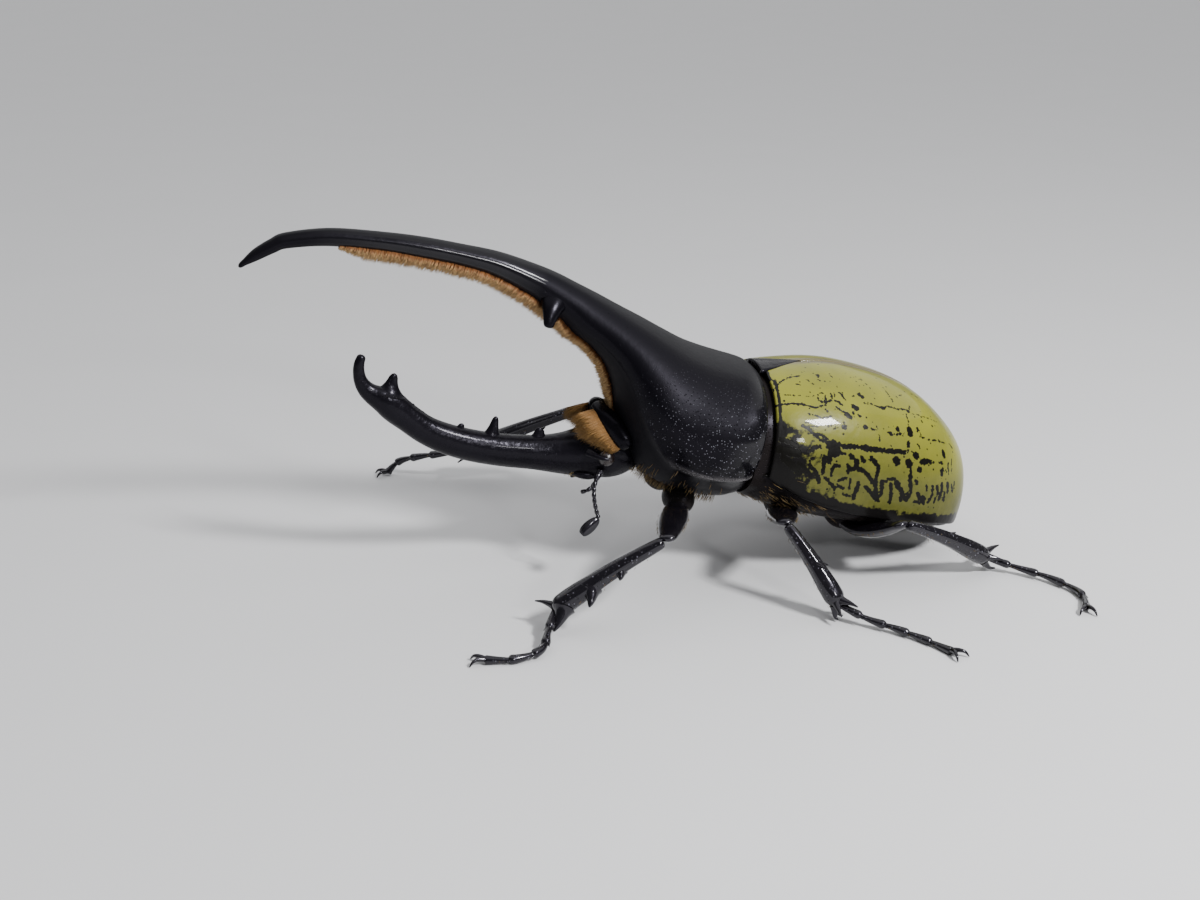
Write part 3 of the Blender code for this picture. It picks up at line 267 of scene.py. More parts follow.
# Spines of the shins: share of the length, lean to the foot, turn in degrees, length, radius.
SHIN_SPINES = {
    "front": (
        (0.42, 0.30, 0.0, 0.9, 0.75), (0.68, 0.35, 0.0, 2.3, 1.10),
        (0.93, 0.80, 0.0, 3.5, 1.20), (0.99, 0.90, 150.0, 2.6, 0.50),
    ),
    "middle": (
        (0.50, 0.70, 20.0, 1.6, 0.50), (0.52, 0.70, -60.0, 1.6, 0.50),
        (0.97, 0.95, 0.0, 2.6, 0.60), (0.97, 0.95, 70.0, 2.4, 0.55),
        (0.97, 0.95, -70.0, 2.4, 0.55), (0.99, 1.60, 165.0, 4.2, 0.55),
        (0.99, 1.60, 205.0, 3.4, 0.50),
    ),
    "hind": (
        (0.46, 0.70, 20.0, 1.5, 0.50), (0.48, 0.70, -60.0, 1.5, 0.50),
        (0.97, 0.95, 0.0, 2.6, 0.60), (0.97, 0.95, 70.0, 2.4, 0.55),
        (0.97, 0.95, -70.0, 2.4, 0.55), (0.99, 1.60, 165.0, 3.8, 0.55),
        (0.99, 1.60, 205.0, 3.2, 0.50),
    ),
}
FRONT_TOOTH_DROP = 0.45
SPINE_CLEAR = 0.6
FOOT_JOINTS = 5
CLAW_LENGTH = 3.0
CLAW_RADIUS = 0.42
CLAW_SPREAD = 0.55
CLAW_TAPER = (1.15, 1.05, 0.95, 0.75, 0.5, 0.22)

# How many tufts or hairs each part of the coat has.
NECK_TUFTS = 9000
UNDERSIDE_HAIRS = 620
THIGH_HAIRS = 60
SHIN_HAIRS = 36
FOOT_HAIRS = 60
MOUTH_HAIRS = 220
NECK_TUFT_WIDTH = 0.15
# Hairs along the cases: how many, range of places and of turns, lie, length, share of the width.
CASE_HAIRS = (
    (420, (0.15, 2.2), (1.75, math.pi), (0.8, 0.0, -0.45), 1.4, 1.0),
    (22, (0.25, 2.4), (1.45, 1.95), (0.7, 0.4, -0.3), 3.6, 0.8),
)
# The side in metres of a tuft's own patch on the map.
TUFT_PATCH = 0.003

CAMERA_TARGET = (0.0, 0.0, 24.0)
SENSOR_WIDTH = 36.0
FLOOR_REACH = 3.0
CEILING_POWER = 2.2
CEILING_ANGLE = 110.0
CEILING_TURN = (-24.0, 6.0, 0.0)
BACKDROP_COLOUR = (0.80, 0.82, 0.86, 1.0)
BACKDROP_POWER = 0.20
# Small lamps for the reflections: name, place, target and size in metres, and watts.
LAMPS = (
    ("key", (0.205, -0.315, 0.350), (0.01, 0.0, 0.03), (0.075, 0.06), 3.6),
    ("glint", (0.143, -0.618, 0.296), (0.0, 0.0, 0.03), (0.06, 0.05), 1.1),
)


def frame_offset():
    """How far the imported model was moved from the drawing's own place, in millimetres."""
    horn_low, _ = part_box("thoracic_horn_front")
    low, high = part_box("pronotum")
    return Vector((horn_low.x / MM - RAW_TIP_X, (low.y + high.y) / 2.0 / MM, 0.0))


OFFSET = frame_offset()
TO_FRAME = Matrix.Translation(OFFSET * MM) @ Matrix.Scale(MM, 4)


class BeetleSizes(bpy.types.PropertyGroup):
    """The sizes that a user would change."""

    brush_length: FloatProperty(
        name="Brush length", description="Length of the bristles under the upper horn",
        default=0.0021, min=0.0005, max=0.006, unit="LENGTH")
    brush_bristles: IntProperty(
        name="Brush bristles", description="Number of tufts in the brush",
        default=15000, min=100, max=19000)
    bristle_width: FloatProperty(
        name="Bristle width", description="Width of a tuft of the brush at its root",
        default=0.00022, min=0.00005, max=0.001, unit="LENGTH")
    hair_width: FloatProperty(
        name="Hair width", description="Width of a single long hair at its root",
        default=0.00013, min=0.00003, max=0.001, unit="LENGTH")
    hair_seed: IntProperty(
        name="Hair seed", description="Start of the random draws for the hair",
        default=5, min=0)
    rim_bead: FloatProperty(
        name="Rim bead", description="Height of the bead along the edges of the shell plates",
        default=0.0003, min=0.0, max=0.001, unit="LENGTH")


class BeetleColours(bpy.types.PropertyGroup):
    """The colours that a user would change."""

    shell: FloatVectorProperty(
        name="Shell", description="The black of the horns, head and legs",
        default=(0.0024, 0.0022, 0.0032), size=3, min=0.0, max=1.0, subtype="COLOR")
    # The band's lighter grey is painted light from above on the top; its duller gloss comes from the
    # shader's roughness.
    satin_and_painted_light: FloatVectorProperty(
        name="Satin band", description="The duller black along the top of the horn and pronotum",
        default=(0.0095, 0.0095, 0.0105), size=3, min=0.0, max=1.0, subtype="COLOR")
    case: FloatVectorProperty(
        name="Wing cases", description="The olive yellow of the wing cases",
        default=(0.200, 0.204, 0.018), size=3, min=0.0, max=1.0, subtype="COLOR")
    # The darker, greyer olive low on the cases is painted shade under light from above.
    case_low_shaded: FloatVectorProperty(
        name="Wing case sides", description="The greyer olive low on the wing cases",
        default=(0.046, 0.052, 0.012), size=3, min=0.0, max=1.0, subtype="COLOR")
    mark: FloatVectorProperty(
        name="Marks", description="The black of the marks on the wing cases",
        default=(0.0035, 0.0032, 0.0025), size=3, min=0.0, max=1.0, subtype="COLOR")
    hair_root: FloatVectorProperty(
        name="Hair roots", description="The brown orange at the roots of the hair",
        default=(0.230, 0.085, 0.018), size=3, min=0.0, max=1.0, subtype="COLOR")
    hair_tip: FloatVectorProperty(
        name="Hair tips", description="The pale gold at the tips of the hair",
        default=(0.780, 0.540, 0.250), size=3, min=0.0, max=1.0, subtype="COLOR")
    eye: FloatVectorProperty(
        name="Eyes", description="The dark brown of the eyes",
        default=(0.016, 0.008, 0.006), size=3, min=0.0, max=1.0, subtype="COLOR")
    floor: FloatVectorProperty(
        name="Floor", description="The pale floor",
        default=(0.640, 0.640, 0.650), size=3, min=0.0, max=1.0, subtype="COLOR")


class BeetleStage(bpy.types.PropertyGroup):
    """The camera and lights."""

    azimuth: FloatProperty(
        name="Camera azimuth", description="Turn of the camera round the beetle",
        default=math.radians(-14.0), subtype="ANGLE")
    elevation: FloatProperty(
        name="Camera elevation", description="Height of the camera over the horizon",
        default=math.radians(20.0), subtype="ANGLE")
    distance: FloatProperty(
        name="Camera distance", description="Distance from the camera to the beetle",
        default=0.320, min=0.05, unit="LENGTH")
    lens: FloatProperty(
        name="Lens", description="Focal length of the camera in millimetres",
        default=50.0, min=10.0, max=200.0)
    light: FloatProperty(
        name="Light", description="Strength of the studio lights as a share of the plain one",
        default=1.0, min=0.0, max=10.0, subtype="FACTOR")


class Value:
    """A node's output; sums with it add Math nodes to its finish."""

    def __init__(self, finish, socket):
        self.finish = finish
        self.socket = socket

    def join(self, operation, first, second):
        return self.finish.node("ShaderNodeMath", {"operation": operation}, {0: first, 1: second})

    def __add__(self, other):
        return self.join("ADD", self, other)

    def __radd__(self, other):
        return self.join("ADD", other, self)

    def __sub__(self, other):
        return self.join("SUBTRACT", self, other)

    def __rsub__(self, other):
        return self.join("SUBTRACT", other, self)

    def __mul__(self, other):
        return self.join("MULTIPLY", self, other)

    def most(self, other):
        return self.join("MAXIMUM", self, other)


class Finish:
    """A procedural material in the making."""

    def __init__(self, name, **constants):
        self.material = bpy.data.materials.new(name)
        self.material.use_nodes = True
        self.tree = self.material.node_tree
        self.shader = self.tree.nodes["Principled BSDF"]
        for socket, value in constants.items():
            self.shader.inputs[socket.replace("_", " ")].default_value = value

    def node(self, kind, settings=None, sockets=None, output=0):
        """Adds a node: its settings are set first, then its sockets get values or links."""
        made = self.tree.nodes.new(kind)
        for name, value in (settings or {}).items():
            setattr(made, name, value)
        for name, value in (sockets or {}).items():
            self.feed(made.inputs[name], value)
        return Value(self, made.outputs[output])

    def feed(self, socket, value):
        """Sets a socket, or links a node's output to it."""
        if isinstance(value, Value):
            self.tree.links.new(value.socket, socket)
        elif isinstance(value, tuple) and socket.type == "RGBA" and len(value) == 3:
            socket.default_value = (*value, 1.0)
        else:
            socket.default_value = value

    def surface(self, **links):
        """Feeds the shader's own sockets."""
        for name, value in links.items():
            self.feed(self.shader.inputs[name.replace("_", " ")], value)
        return self.material

    def place(self):
        """The point of the surface in metres, in the frame that all pieces share."""
        return self.node("ShaderNodeTexCoord", output="Object")

    def painted(self, name):
        """A number that was painted on the piece's own vertices."""
        return self.node("ShaderNodeAttribute", {"attribute_name": name}, output="Fac")

    def grain(self, scale, detail=2.0, roughness=0.5):
        """Noise of so many waves a metre, from 0 to 1."""
        sockets = {"Vector": self.place(), "Scale": scale, "Detail": detail, "Roughness": roughness}
        return self.node("ShaderNodeTexNoise", {}, sockets)

    def cells(self, scale, output="Distance", spread=1.0):
        """Cells of so many a metre: the distance to the nearest middle, or its own colour."""
        sockets = {"Vector": self.place(), "Scale": scale, "Randomness": spread}
        return self.node("ShaderNodeTexVoronoi", {}, sockets, output)

    def spots(self, scale):
        """Both for the same cells: the distance to the nearest middle, and its own colour."""
        return self.cells(scale), self.cells(scale, output="Color")

    def fade(self, value, low, high, start=0.0, end=1.0):
        """A smooth change from start to end as a value goes from low to high."""
        sockets = {"Value": value, 1: low, 2: high, 3: start, 4: end}
        return self.node("ShaderNodeMapRange", {"interpolation_type": "SMOOTHSTEP"}, sockets)

    def near(self, value, low, high):
        """A smooth fall from 1 to 0 as a value goes from low to high."""
        return self.fade(value, low, high, 1.0, 0.0)

    def blend(self, share, first, second):
        """The first colour where share is 0 and the second where it is 1."""
        settings = {"data_type": "RGBA"}
        return self.node("ShaderNodeMix", settings, {0: share, 6: first, 7: second}, 2)

    def bump(self, height, strength, distance, normal=None):
        """A normal that follows a height; distance is the relief's depth in metres."""
        sockets = {"Height": height, "Strength": strength, "Distance": distance}
        if normal is not None:
            sockets["Normal"] = normal
        return self.node("ShaderNodeBump", {}, sockets)


SHEEN_TINT = (0.86, 0.82, 1.0, 1.0)


def black_shell(colours):
    """Polished black with a violet sheen, fine waves and a few pits."""
    finish = Finish("black_shell", Specular_Tint=SHEEN_TINT, Specular_IOR_Level=0.13, Coat_Roughness=0.09)
    cloud = finish.grain(260.0, 3.0)
    waves = finish.grain(900.0, 2.0)
    grit = finish.grain(5200.0, 2.0)
    pits, rare = finish.spots(950.0)
    deep = finish.near(pits, 0.05, 0.16) * finish.fade(rare, 0.60, 0.66)
    normal = finish.bump(waves, 0.40, 0.00030)
    normal = finish.bump(grit, 0.10, 0.00004, normal)
    normal = finish.bump(1.0 - deep, 0.5, 0.00012, normal)
    colour = finish.blend(cloud, tuple(colours.shell), (0.0050, 0.0044, 0.0064))
    return finish.surface(Base_Color=colour, Roughness=0.17 + cloud * 0.16 + grit * 0.05,
                          Coat_Weight=0.05, Normal=normal)


def satin_shell(colours):
    """The horn and pronotum: duller along the top, where a lighter grey is painted as light from above,
    with pits low on the sides and pale specks painted in them as glints.
    """
    finish = Finish("satin_shell", Specular_Tint=SHEEN_TINT, Specular_IOR_Level=0.11, Coat_Roughness=0.10)
    dorsal = finish.painted("dorsal")
    pits_and_glints = finish.painted("pits_and_glints")
    cloud = finish.grain(240.0, 3.0)
    waves = finish.grain(800.0, 2.0)
    grit = finish.grain(6000.0, 3.0, 0.6)
    bead = finish.painted("bead")
    pits, own = finish.spots(2300.0)
    deep = finish.near(pits, 0.10, 0.34) * finish.fade(own, 0.18, 0.30)
    # Pale specks painted in the pits as glints of light: painted highlight.
    glint = finish.near(pits, 0.16, 0.30) * finish.fade(own, 0.50, 0.62) * pits_and_glints
    few, few_own = finish.spots(620.0)
    speck = finish.near(few, 0.04, 0.12) * finish.fade(few_own, 0.62, 0.66)
    normal = finish.bump(waves, 0.16, 0.00025)
    normal = finish.bump(grit, 0.10, 0.00003, normal)
    normal = finish.bump(1.0 - deep * pits_and_glints, 0.85, 0.00016, normal)
    normal = finish.bump(1.0 - speck, 0.6, 0.00018, normal)
    # Along the top the base colour turns a lighter grey, which is painted light from above; the duller
    # gloss there comes from the roughness.
    dull_top_and_painted_light = finish.fade(dorsal + (cloud - 0.5) * 0.25, 0.35, 0.65)
    colour = finish.blend(dull_top_and_painted_light, tuple(colours.shell), tuple(colours.satin_and_painted_light))
    colour = finish.blend(glint * (0.35 + own * 0.65), colour, (0.200, 0.200, 0.235))
    # A pale line painted along the side edge's bead: painted highlight.
    colour = finish.blend(bead * finish.fade(grit, 0.35, 0.60), colour, (0.170, 0.160, 0.165))
    matt = finish.painted("matt")
    roughness = 0.18 + dull_top_and_painted_light * 0.20 + matt * 0.34 + cloud * 0.10 + grit * 0.06
    return finish.surface(Base_Color=colour, Roughness=roughness,
                          Coat_Weight=finish.painted("gloss") * 0.45, Normal=normal)


def leg_shell(colours):
    """Legs: polished black with coarse pits in rows, and pale specks painted in the pits as glints."""
    finish = Finish("leg_shell", Specular_Tint=SHEEN_TINT, Specular_IOR_Level=0.28, Coat_Roughness=0.06)
    cloud = finish.grain(420.0, 3.0)
    grit = finish.grain(4500.0, 2.0)
    pits, own = finish.spots(1500.0)
    deep = finish.near(pits, 0.10, 0.36) * finish.fade(own, 0.25, 0.35)
    pitting_and_glints = finish.painted("pitting_and_glints")
    normal = finish.bump(cloud, 0.3, 0.0003)
    normal = finish.bump(grit, 0.12, 0.00004, normal)
    normal = finish.bump(1.0 - deep * pitting_and_glints, 1.0, 0.00030, normal)
    colour = finish.blend(cloud, tuple(colours.shell), (0.0065, 0.0055, 0.0075))
    # Pale specks painted in the pits as glints of light: painted highlight.
    glint = finish.near(pits, 0.12, 0.28) * finish.fade(own, 0.50, 0.60) * pitting_and_glints
    colour = finish.blend(glint * (0.30 + own * 0.60), colour, (0.210, 0.205, 0.250))
    return finish.surface(Base_Color=colour, Roughness=0.16 + cloud * 0.14 + deep * pitting_and_glints * 0.12,
                          Coat_Weight=0.50, Normal=normal)


def belly_shell(colours):
    """The trunk under the wing cases: dark brown black, satin, finely pitted."""
    finish = Finish("belly_shell", Specular_Tint=SHEEN_TINT, Specular_IOR_Level=0.08)
    cloud = finish.grain(300.0, 3.0)
    pits = finish.cells(2100.0)
    deep = finish.near(pits, 0.10, 0.36)
    normal = finish.bump(cloud, 0.3, 0.0003)
    normal = finish.bump(1.0 - deep, 0.6, 0.00015, normal)
    colour = finish.blend(cloud, (0.004, 0.0036, 0.0036), (0.010, 0.0075, 0.0065))
    return finish.surface(Base_Color=colour, Roughness=0.26 + cloud * 0.14, Normal=normal)


def case_shell(colours):
    """The wing cases: glossy olive yellow with black marks, small pits and dark edges, and painted shade
    that darkens them low on the sides.
    """
    finish = Finish("case_shell", Specular_IOR_Level=0.10, Coat_Roughness=0.045)
    mark = finish.painted("mark")
    edge = finish.painted("edge")
    low = finish.painted("low")
    seam = finish.painted("seam")
    cloud = finish.grain(130.0, 3.0)
    ragged = finish.grain(2300.0, 2.0)
    fine = finish.grain(520.0, 4.0, 0.6)
    dots, own = finish.spots(820.0)
    speck = finish.near(dots - own * 0.20, 0.01, 0.06)
    speck = speck * finish.fade(finish.grain(330.0, 1.0), 0.46, 0.54)
    beads = finish.cells(1900.0)
    line = finish.near(mark + (ragged - 0.5) * 0.40 + (beads - 0.30) * 0.34, 0.02, 0.10)
    border = finish.near(edge + (fine - 0.5) * 1.3, 0.58, 0.74)
    body = finish.blend(finish.fade(cloud, 0.35, 0.68), tuple(colours.case), (0.152, 0.158, 0.020))
    # Low on the sides the olive turns darker and greyer: painted shade under light from above.
    body = finish.blend(low, body, tuple(colours.case_low_shaded))
    body = finish.blend(fine * 0.30, body, (0.270, 0.240, 0.045))
    body = finish.blend(seam * (0.70 + fine * 0.30), body, (0.120, 0.100, 0.056))
    brown = finish.blend(border, body, (0.0045, 0.0040, 0.0040))
    colour = finish.blend(line.most(speck), brown, tuple(colours.mark))
    waves = finish.grain(420.0, 2.0)
    normal = finish.bump(waves, 0.20, 0.0004)
    normal = finish.bump(1.0 - line.most(speck), 0.30, 0.00006, normal)
    normal = finish.bump(ragged, 0.06, 0.00004, normal)
    coat = (1.0 - low * 0.78) * (1.0 - border * 0.40) * 0.32
    return finish.surface(Base_Color=colour, Roughness=0.24 + fine * 0.14,
                          Coat_Weight=coat, Normal=normal)


def eye_shell(colours):
    """The eyes, dark and finely faceted."""
    finish = Finish("eye", Coat_Roughness=0.04)
    facets = finish.cells(9000.0, spread=0.2)
    cloud = finish.grain(500.0, 2.0)
    colour = finish.blend(cloud, tuple(colours.eye), (0.004, 0.003, 0.004))
    normal = finish.bump(1.0 - facets, 0.35, 0.00004)
    return finish.surface(Base_Color=colour, Roughness=0.22 + facets * 0.1, Coat_Weight=0.30,
                          Normal=normal)


def hair(name, root, tip, darkest):
    """Hair from its root's colour to its tip's; darkest is the share left in its shaded tufts."""
    finish = Finish(name)
    reach = finish.painted("reach")
    shade = finish.painted("shade")
    colour = finish.blend(finish.fade(reach, 0.20, 1.0), root, tip)
    dark = tuple(part * darkest for part in root)
    colour = finish.blend(shade * 0.75, colour, dark)
    return finish.surface(Base_Color=colour, Roughness=0.50 + shade * 0.2)


def pale_floor(colours):
    """Plain pale paper."""
    finish = Finish("pale_floor", Roughness=0.75)
    cloud = finish.grain(30.0, 2.0)
    floor = tuple(colours.floor)
    colour = finish.blend(cloud, floor, tuple(part * 0.97 for part in floor))
    return finish.surface(Base_Color=colour)


SHELLS = {
    "black": black_shell, "satin_and_painted_light": satin_shell, "leg": leg_shell, "belly": belly_shell,
    "case": case_shell, "eye": eye_shell, "floor": pale_floor,
}
# Hair besides the brush: the colours of its root and tip, and its darkest share.
HAIRS = {
    "ochre": ((0.250, 0.120, 0.030), (0.450, 0.260, 0.080), 0.60),
    "gold": ((0.110, 0.062, 0.018), (0.340, 0.240, 0.080), 0.55),
}
FINISHES = {}


def finish_for(name):
    """A shared finish, made when it is first asked for."""
    if name not in FINISHES:
        colours = bpy.context.scene.beetle_colours
        if name in SHELLS:
            FINISHES[name] = SHELLS[name](colours)
        elif name == "brush":
            FINISHES[name] = hair("brush_hair", tuple(colours.hair_root), tuple(colours.hair_tip), 0.55)
        else:
            FINISHES[name] = hair(f"{name}_hair", *HAIRS[name])
    return FINISHES[name]


def clamp(value):
    """A value held between 0 and 1."""
    return min(max(value, 0.0), 1.0)


def toss(chance):
    """One side or the other, as 1 or -1."""
    return 1.0 if chance.random() < 0.5 else -1.0


def middle_of(ring):
    """The mean of a ring of points."""
    return sum(ring, Vector()) / len(ring)


def leg_size(leg, part):
    """A size that all legs of a pair share."""
    return LEG_SIZES[leg["kind"]][part]


def in_world(point):
    """A point of the body's own frame over the floor, both in millimetres."""
    return WAIST + BODY_TURN @ Vector(point)


def smooth(values, place):
    """A smooth curve through equally spaced tuples; place runs from 0 to len(values) - 1."""
    last = len(values) - 1
    index = max(0, min(int(place), last - 1))
    share = place - index
    before = values[max(index - 1, 0)]
    start = values[index]
    end = values[index + 1]
    after = values[min(index + 2, last)]
    result = []
    for p0, p1, p2, p3 in zip(before, start, end, after):
        slope_in = (p2 - p0) / 2.0
        slope_out = (p3 - p1) / 2.0
        cube = (2.0 * p1 - 2.0 * p2 + slope_in + slope_out) * share**3
        square = (3.0 * p2 - 3.0 * p1 - 2.0 * slope_in - slope_out) * share**2
        result.append(cube + square + slope_in * share + p1)
    return tuple(result)


def smooth_number(values, place):
    return smooth([(value,) for value in values], place)[0]


def power(value, exponent):
    """A signed power, for superellipse sections."""
    return math.copysign(abs(value) ** exponent, value)


def hump(value, middle, width):
    """A soft bump of height 1 round a middle."""
    return math.exp(-(((value - middle) / width) ** 2))


def rounding(share):
    """The reach of a rounded end, 0 at its pole and 1 where it meets the side."""
    share = clamp(share)
    return math.sqrt(max(0.0, 1.0 - (1.0 - share) ** 2))


def woven(rings, paint=None, closed=True):
    """A grid bent through rings of points; paint gives named numbers for a ring and point."""
    columns = len(rings) - 1
    rows = len(rings[0]) - (0 if closed else 1)
    shape = bmesh.new()
    layers = {name: shape.verts.layers.float.new(name) for name in (paint or {})}
    bmesh.ops.create_grid(shape, x_segments=columns, y_segments=rows, size=0.5)
    for vert in shape.verts:
        i = round((vert.co.x + 0.5) * columns)
        k = round((vert.co.y + 0.5) * rows) % len(rings[0])
        vert.co = rings[i][k]
        for name, layer in layers.items():
            vert[layer] = paint[name](i, k)
    bmesh.ops.remove_doubles(shape, verts=shape.verts, dist=1.0e-4)
    bmesh.ops.recalc_face_normals(shape, faces=shape.faces)
    return shape


def mirrored(shape):
    """Turns a shape into its mirror image across the body's middle."""
    bmesh.ops.scale(shape, verts=shape.verts, vec=(1.0, -1.0, 1.0))
    bmesh.ops.reverse_faces(shape, faces=shape.faces)
    return shape


def on_side(side, shape):
    """A shape made for the right side, or its mirror image for the left."""
    return shape if side == "right" else mirrored(shape)


def joined(shapes):
    """One shape out of several; the first one's painted numbers are kept."""
    whole = bmesh.new()
    for shape in shapes:
        data = bpy.data.meshes.new("part")
        shape.to_mesh(data)
        shape.free()
        whole.from_mesh(data)
        bpy.data.meshes.remove(data)
    return whole


def settle(name, shapes, finish, nodes=(), crease=math.radians(50.0)):
    """Puts a finished piece in the frame, on its body and in place of its nodes."""
    whole = joined(shapes)
    whole.transform(TO_FRAME)
    data = bpy.data.meshes.new(name)
    whole.to_mesh(data)
    whole.free()
    data.polygons.foreach_set("use_smooth", [True] * len(data.polygons))
    data.set_sharp_from_angle(angle=crease)
    data.materials.append(finish_for(finish))
    piece = bpy.data.objects.new(name, data)
    bpy.context.scene.collection.objects.link(piece)
    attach(piece, BODY)
    if nodes:
        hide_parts(*nodes)
    return piece


def thicken(piece, thickness):
    """Gives a piece's open shell its wall, inwards from its skin."""
    wall = piece.modifiers.new("wall", "SOLIDIFY")
    wall.thickness = thickness * MM
    wall.offset = -1.0


def shares_along(steps):
    """Shares of a limb's length, closer together towards both of its ends."""
    evens = [0.6 * k / steps for k in range(steps + 1)]
    return [even + 0.4 * (0.5 - 0.5 * math.cos(math.pi * k / steps)) for k, even in enumerate(evens)]


def swept(points, radius, sides, steps, flat=1.0, side_axis=None, caps=(1.0, 1.0), paint=None):
    """A limb along world points; radius(share, turn) is its reach, caps how round its ends are."""
    points = [Vector(point) for point in points]
    last = len(points) - 1
    shares = shares_along(steps)
    centres = [Vector(smooth(points, share * last)) for share in shares]
    length = sum((b - a).length for a, b in zip(centres, centres[1:]))
    rings = []
    across = Vector(side_axis) if side_axis is not None else None
    for k, (share, centre) in enumerate(zip(shares, centres)):
        ahead = (centres[min(k + 1, steps)] - centres[max(k - 1, 0)]).normalized()
        if across is None:
            across = ahead.orthogonal()
        base = Vector(side_axis) if side_axis is not None else across
        across = (base - ahead * ahead.dot(base)).normalized()
        other = ahead.cross(across)
        ring = []
        for j in range(sides):
            turn = 2.0 * math.pi * j / sides
            reach = radius(share, turn)
            if caps[0]:
                reach *= rounding(share * length / (caps[0] * radius(0.0, 0.0)))
            if caps[1]:
                reach *= rounding((1.0 - share) * length / (caps[1] * radius(1.0, 0.0)))
            side = across * (math.cos(turn) * reach)
            ring.append(centre + side + other * (math.sin(turn) * reach * flat))
        rings.append(ring)
    return woven(rings, paint)


def cone(points, radii, sides, steps, flat=1.0, side_axis=None):
    """A tapered spine, tooth or claw along world points."""
    last = len(radii) - 1
    return swept(points, lambda share, turn: smooth_number(radii, share * last), sides, steps, flat,
                 side_axis, caps=(0.0, 1.0))


def ball(centre, radii, axes, segments, rings):
    """An ellipsoid at a world point; axes are its three unit directions."""
    shape = bmesh.new()
    bmesh.ops.create_uvsphere(shape, u_segments=segments, v_segments=rings, radius=1.0)
    turn = Matrix([axes[0], axes[1], axes[2]]).transposed().to_4x4()
    shape.transform(Matrix.Translation(Vector(centre)) @ turn @ Matrix.Diagonal((*radii, 1.0)))
    bmesh.ops.recalc_face_normals(shape, faces=shape.faces)
    return shape


def body_ball(centre, radii, segments, rings):
    """An ellipsoid at a point of the body's own frame, turned with the body."""
    axes = [BODY_TURN @ Vector(axis) for axis in ((1, 0, 0), (0, 1, 0), (0, 0, 1))]
    return ball(in_world(centre), radii, axes, segments, rings)


def beside(centre, offsets):
    """World points at offsets from a point of the body's own frame."""
    return [in_world([a + b for a, b in zip(centre, offset)]) for offset in offsets]


UPPER_ROWS = [
    (*top, *bottom, half_width, widest) for top, bottom, half_width, widest in UPPER_HORN + PRONOTUM
]


def section_point(top, bottom, half_width, widest, turn, upper, lower, grow=0.0):
    """A point of one closed section between a top and a bottom point; turn 0 is the top."""
    top = Vector(top)
    bottom = Vector(bottom)
    down = bottom - top
    if grow:
        step = down.normalized() * grow
        top = top - step
        bottom = bottom + step
        down = bottom - top
        half_width += grow
    cosine = math.cos(turn)
    exponent = 2.0 / (upper if cosine > 0.0 else lower)
    reach = widest if cosine > 0.0 else 1.0 - widest
    place = top + down * (widest - reach * power(cosine, exponent))
    return Vector((place.x, half_width * power(math.sin(turn), exponent), place.y))


def upper_point(place, turn, grow=0.0):
    """A point of the upper horn and pronotum in the body's frame."""
    row = smooth(UPPER_ROWS, place)
    return section_point(row[0:2], row[2:4], row[4], row[5], turn, TOP_POWER, LOW_POWER, grow)


def upper_places(count):
    """Places along the upper horn and pronotum at even steps of length."""
    fine = [UPPER_LAST * k / 400.0 for k in range(401)]
    middles = []
    for place in fine:
        values = smooth(UPPER_ROWS, place)
        middles.append(Vector(((values[0] + values[2]) / 2.0, (values[1] + values[3]) / 2.0)))
    walked = [0.0]
    for before, after in zip(middles, middles[1:]):
        walked.append(walked[-1] + (after - before).length)
    places = []
    index = 0
    for k in range(count + 1):
        goal = walked[-1] * k / count
        while index < 399 and walked[index + 1] < goal:
            index += 1
        share = (goal - walked[index]) / max(walked[index + 1] - walked[index], 1.0e-9)
        places.append(fine[index] + (fine[index + 1] - fine[index]) * share)
    return places


def fold_of(turn):
    """How far a turn is from the top of its section, on either side."""
    return math.pi - abs(math.pi - turn)


def side_edge(place):
    """The fold along which the pronotum's side edge runs."""
    return 2.12 - 0.035 * (place - 17.0)


def upper_swell(place, turn, bead):
    """Relief of the upper horn and pronotum: its rear bead and the bead along its side edge."""
    fold = fold_of(turn)
    rear = hump(place, UPPER_LAST - 0.12, 0.16) * (1.0 - 0.6 * clamp((fold - 2.3) / 0.5))
    edge = hump(fold, side_edge(place), 0.035) * clamp(place - 15.5)
    return bead * (rear + 0.9 * edge)


def neck_edge(share):
    """A point along the pronotum's front edge, 0 in the middle and 1 low on the side."""
    return Vector(smooth(NECK_EDGE, share * (len(NECK_EDGE) - 1)))


def upper_rings(turns, bead):
    """World points round the upper horn and pronotum from tip to rear, and each ring's place."""
    tip = Vector((UPPER_HORN_TIP[0], 0.0, UPPER_HORN_TIP[1]))
    first = [upper_point(0.0, turn) for turn in turns]
    middle = (first[0] + first[len(turns) // 2]) / 2.0
    rings = []
    places = []
    for k in range(TIP_RINGS):
        share = k / TIP_RINGS
        at = tip.lerp(middle, share)
        rings.append([in_world(at + (point - middle) * rounding(share)) for point in first])
        places.append(0.0)
    for place in upper_places(UPPER_STEPS):
        swells = [upper_swell(place, turn, bead) for turn in turns]
        rings.append([in_world(upper_point(place, turn, swell)) for turn, swell in zip(turns, swells)])
        places.append(place)
    last = [upper_point(UPPER_LAST, turn) for turn in turns]
    middle = middle_of(last)
    for share, back in REAR_CLOSING:
        ring = []
        for point in last:
            moved = middle + (point - middle) * share
            moved.x += back
            ring.append(in_world(moved))
        rings.append(ring)
        places.append(float(UPPER_LAST))
    return rings, places


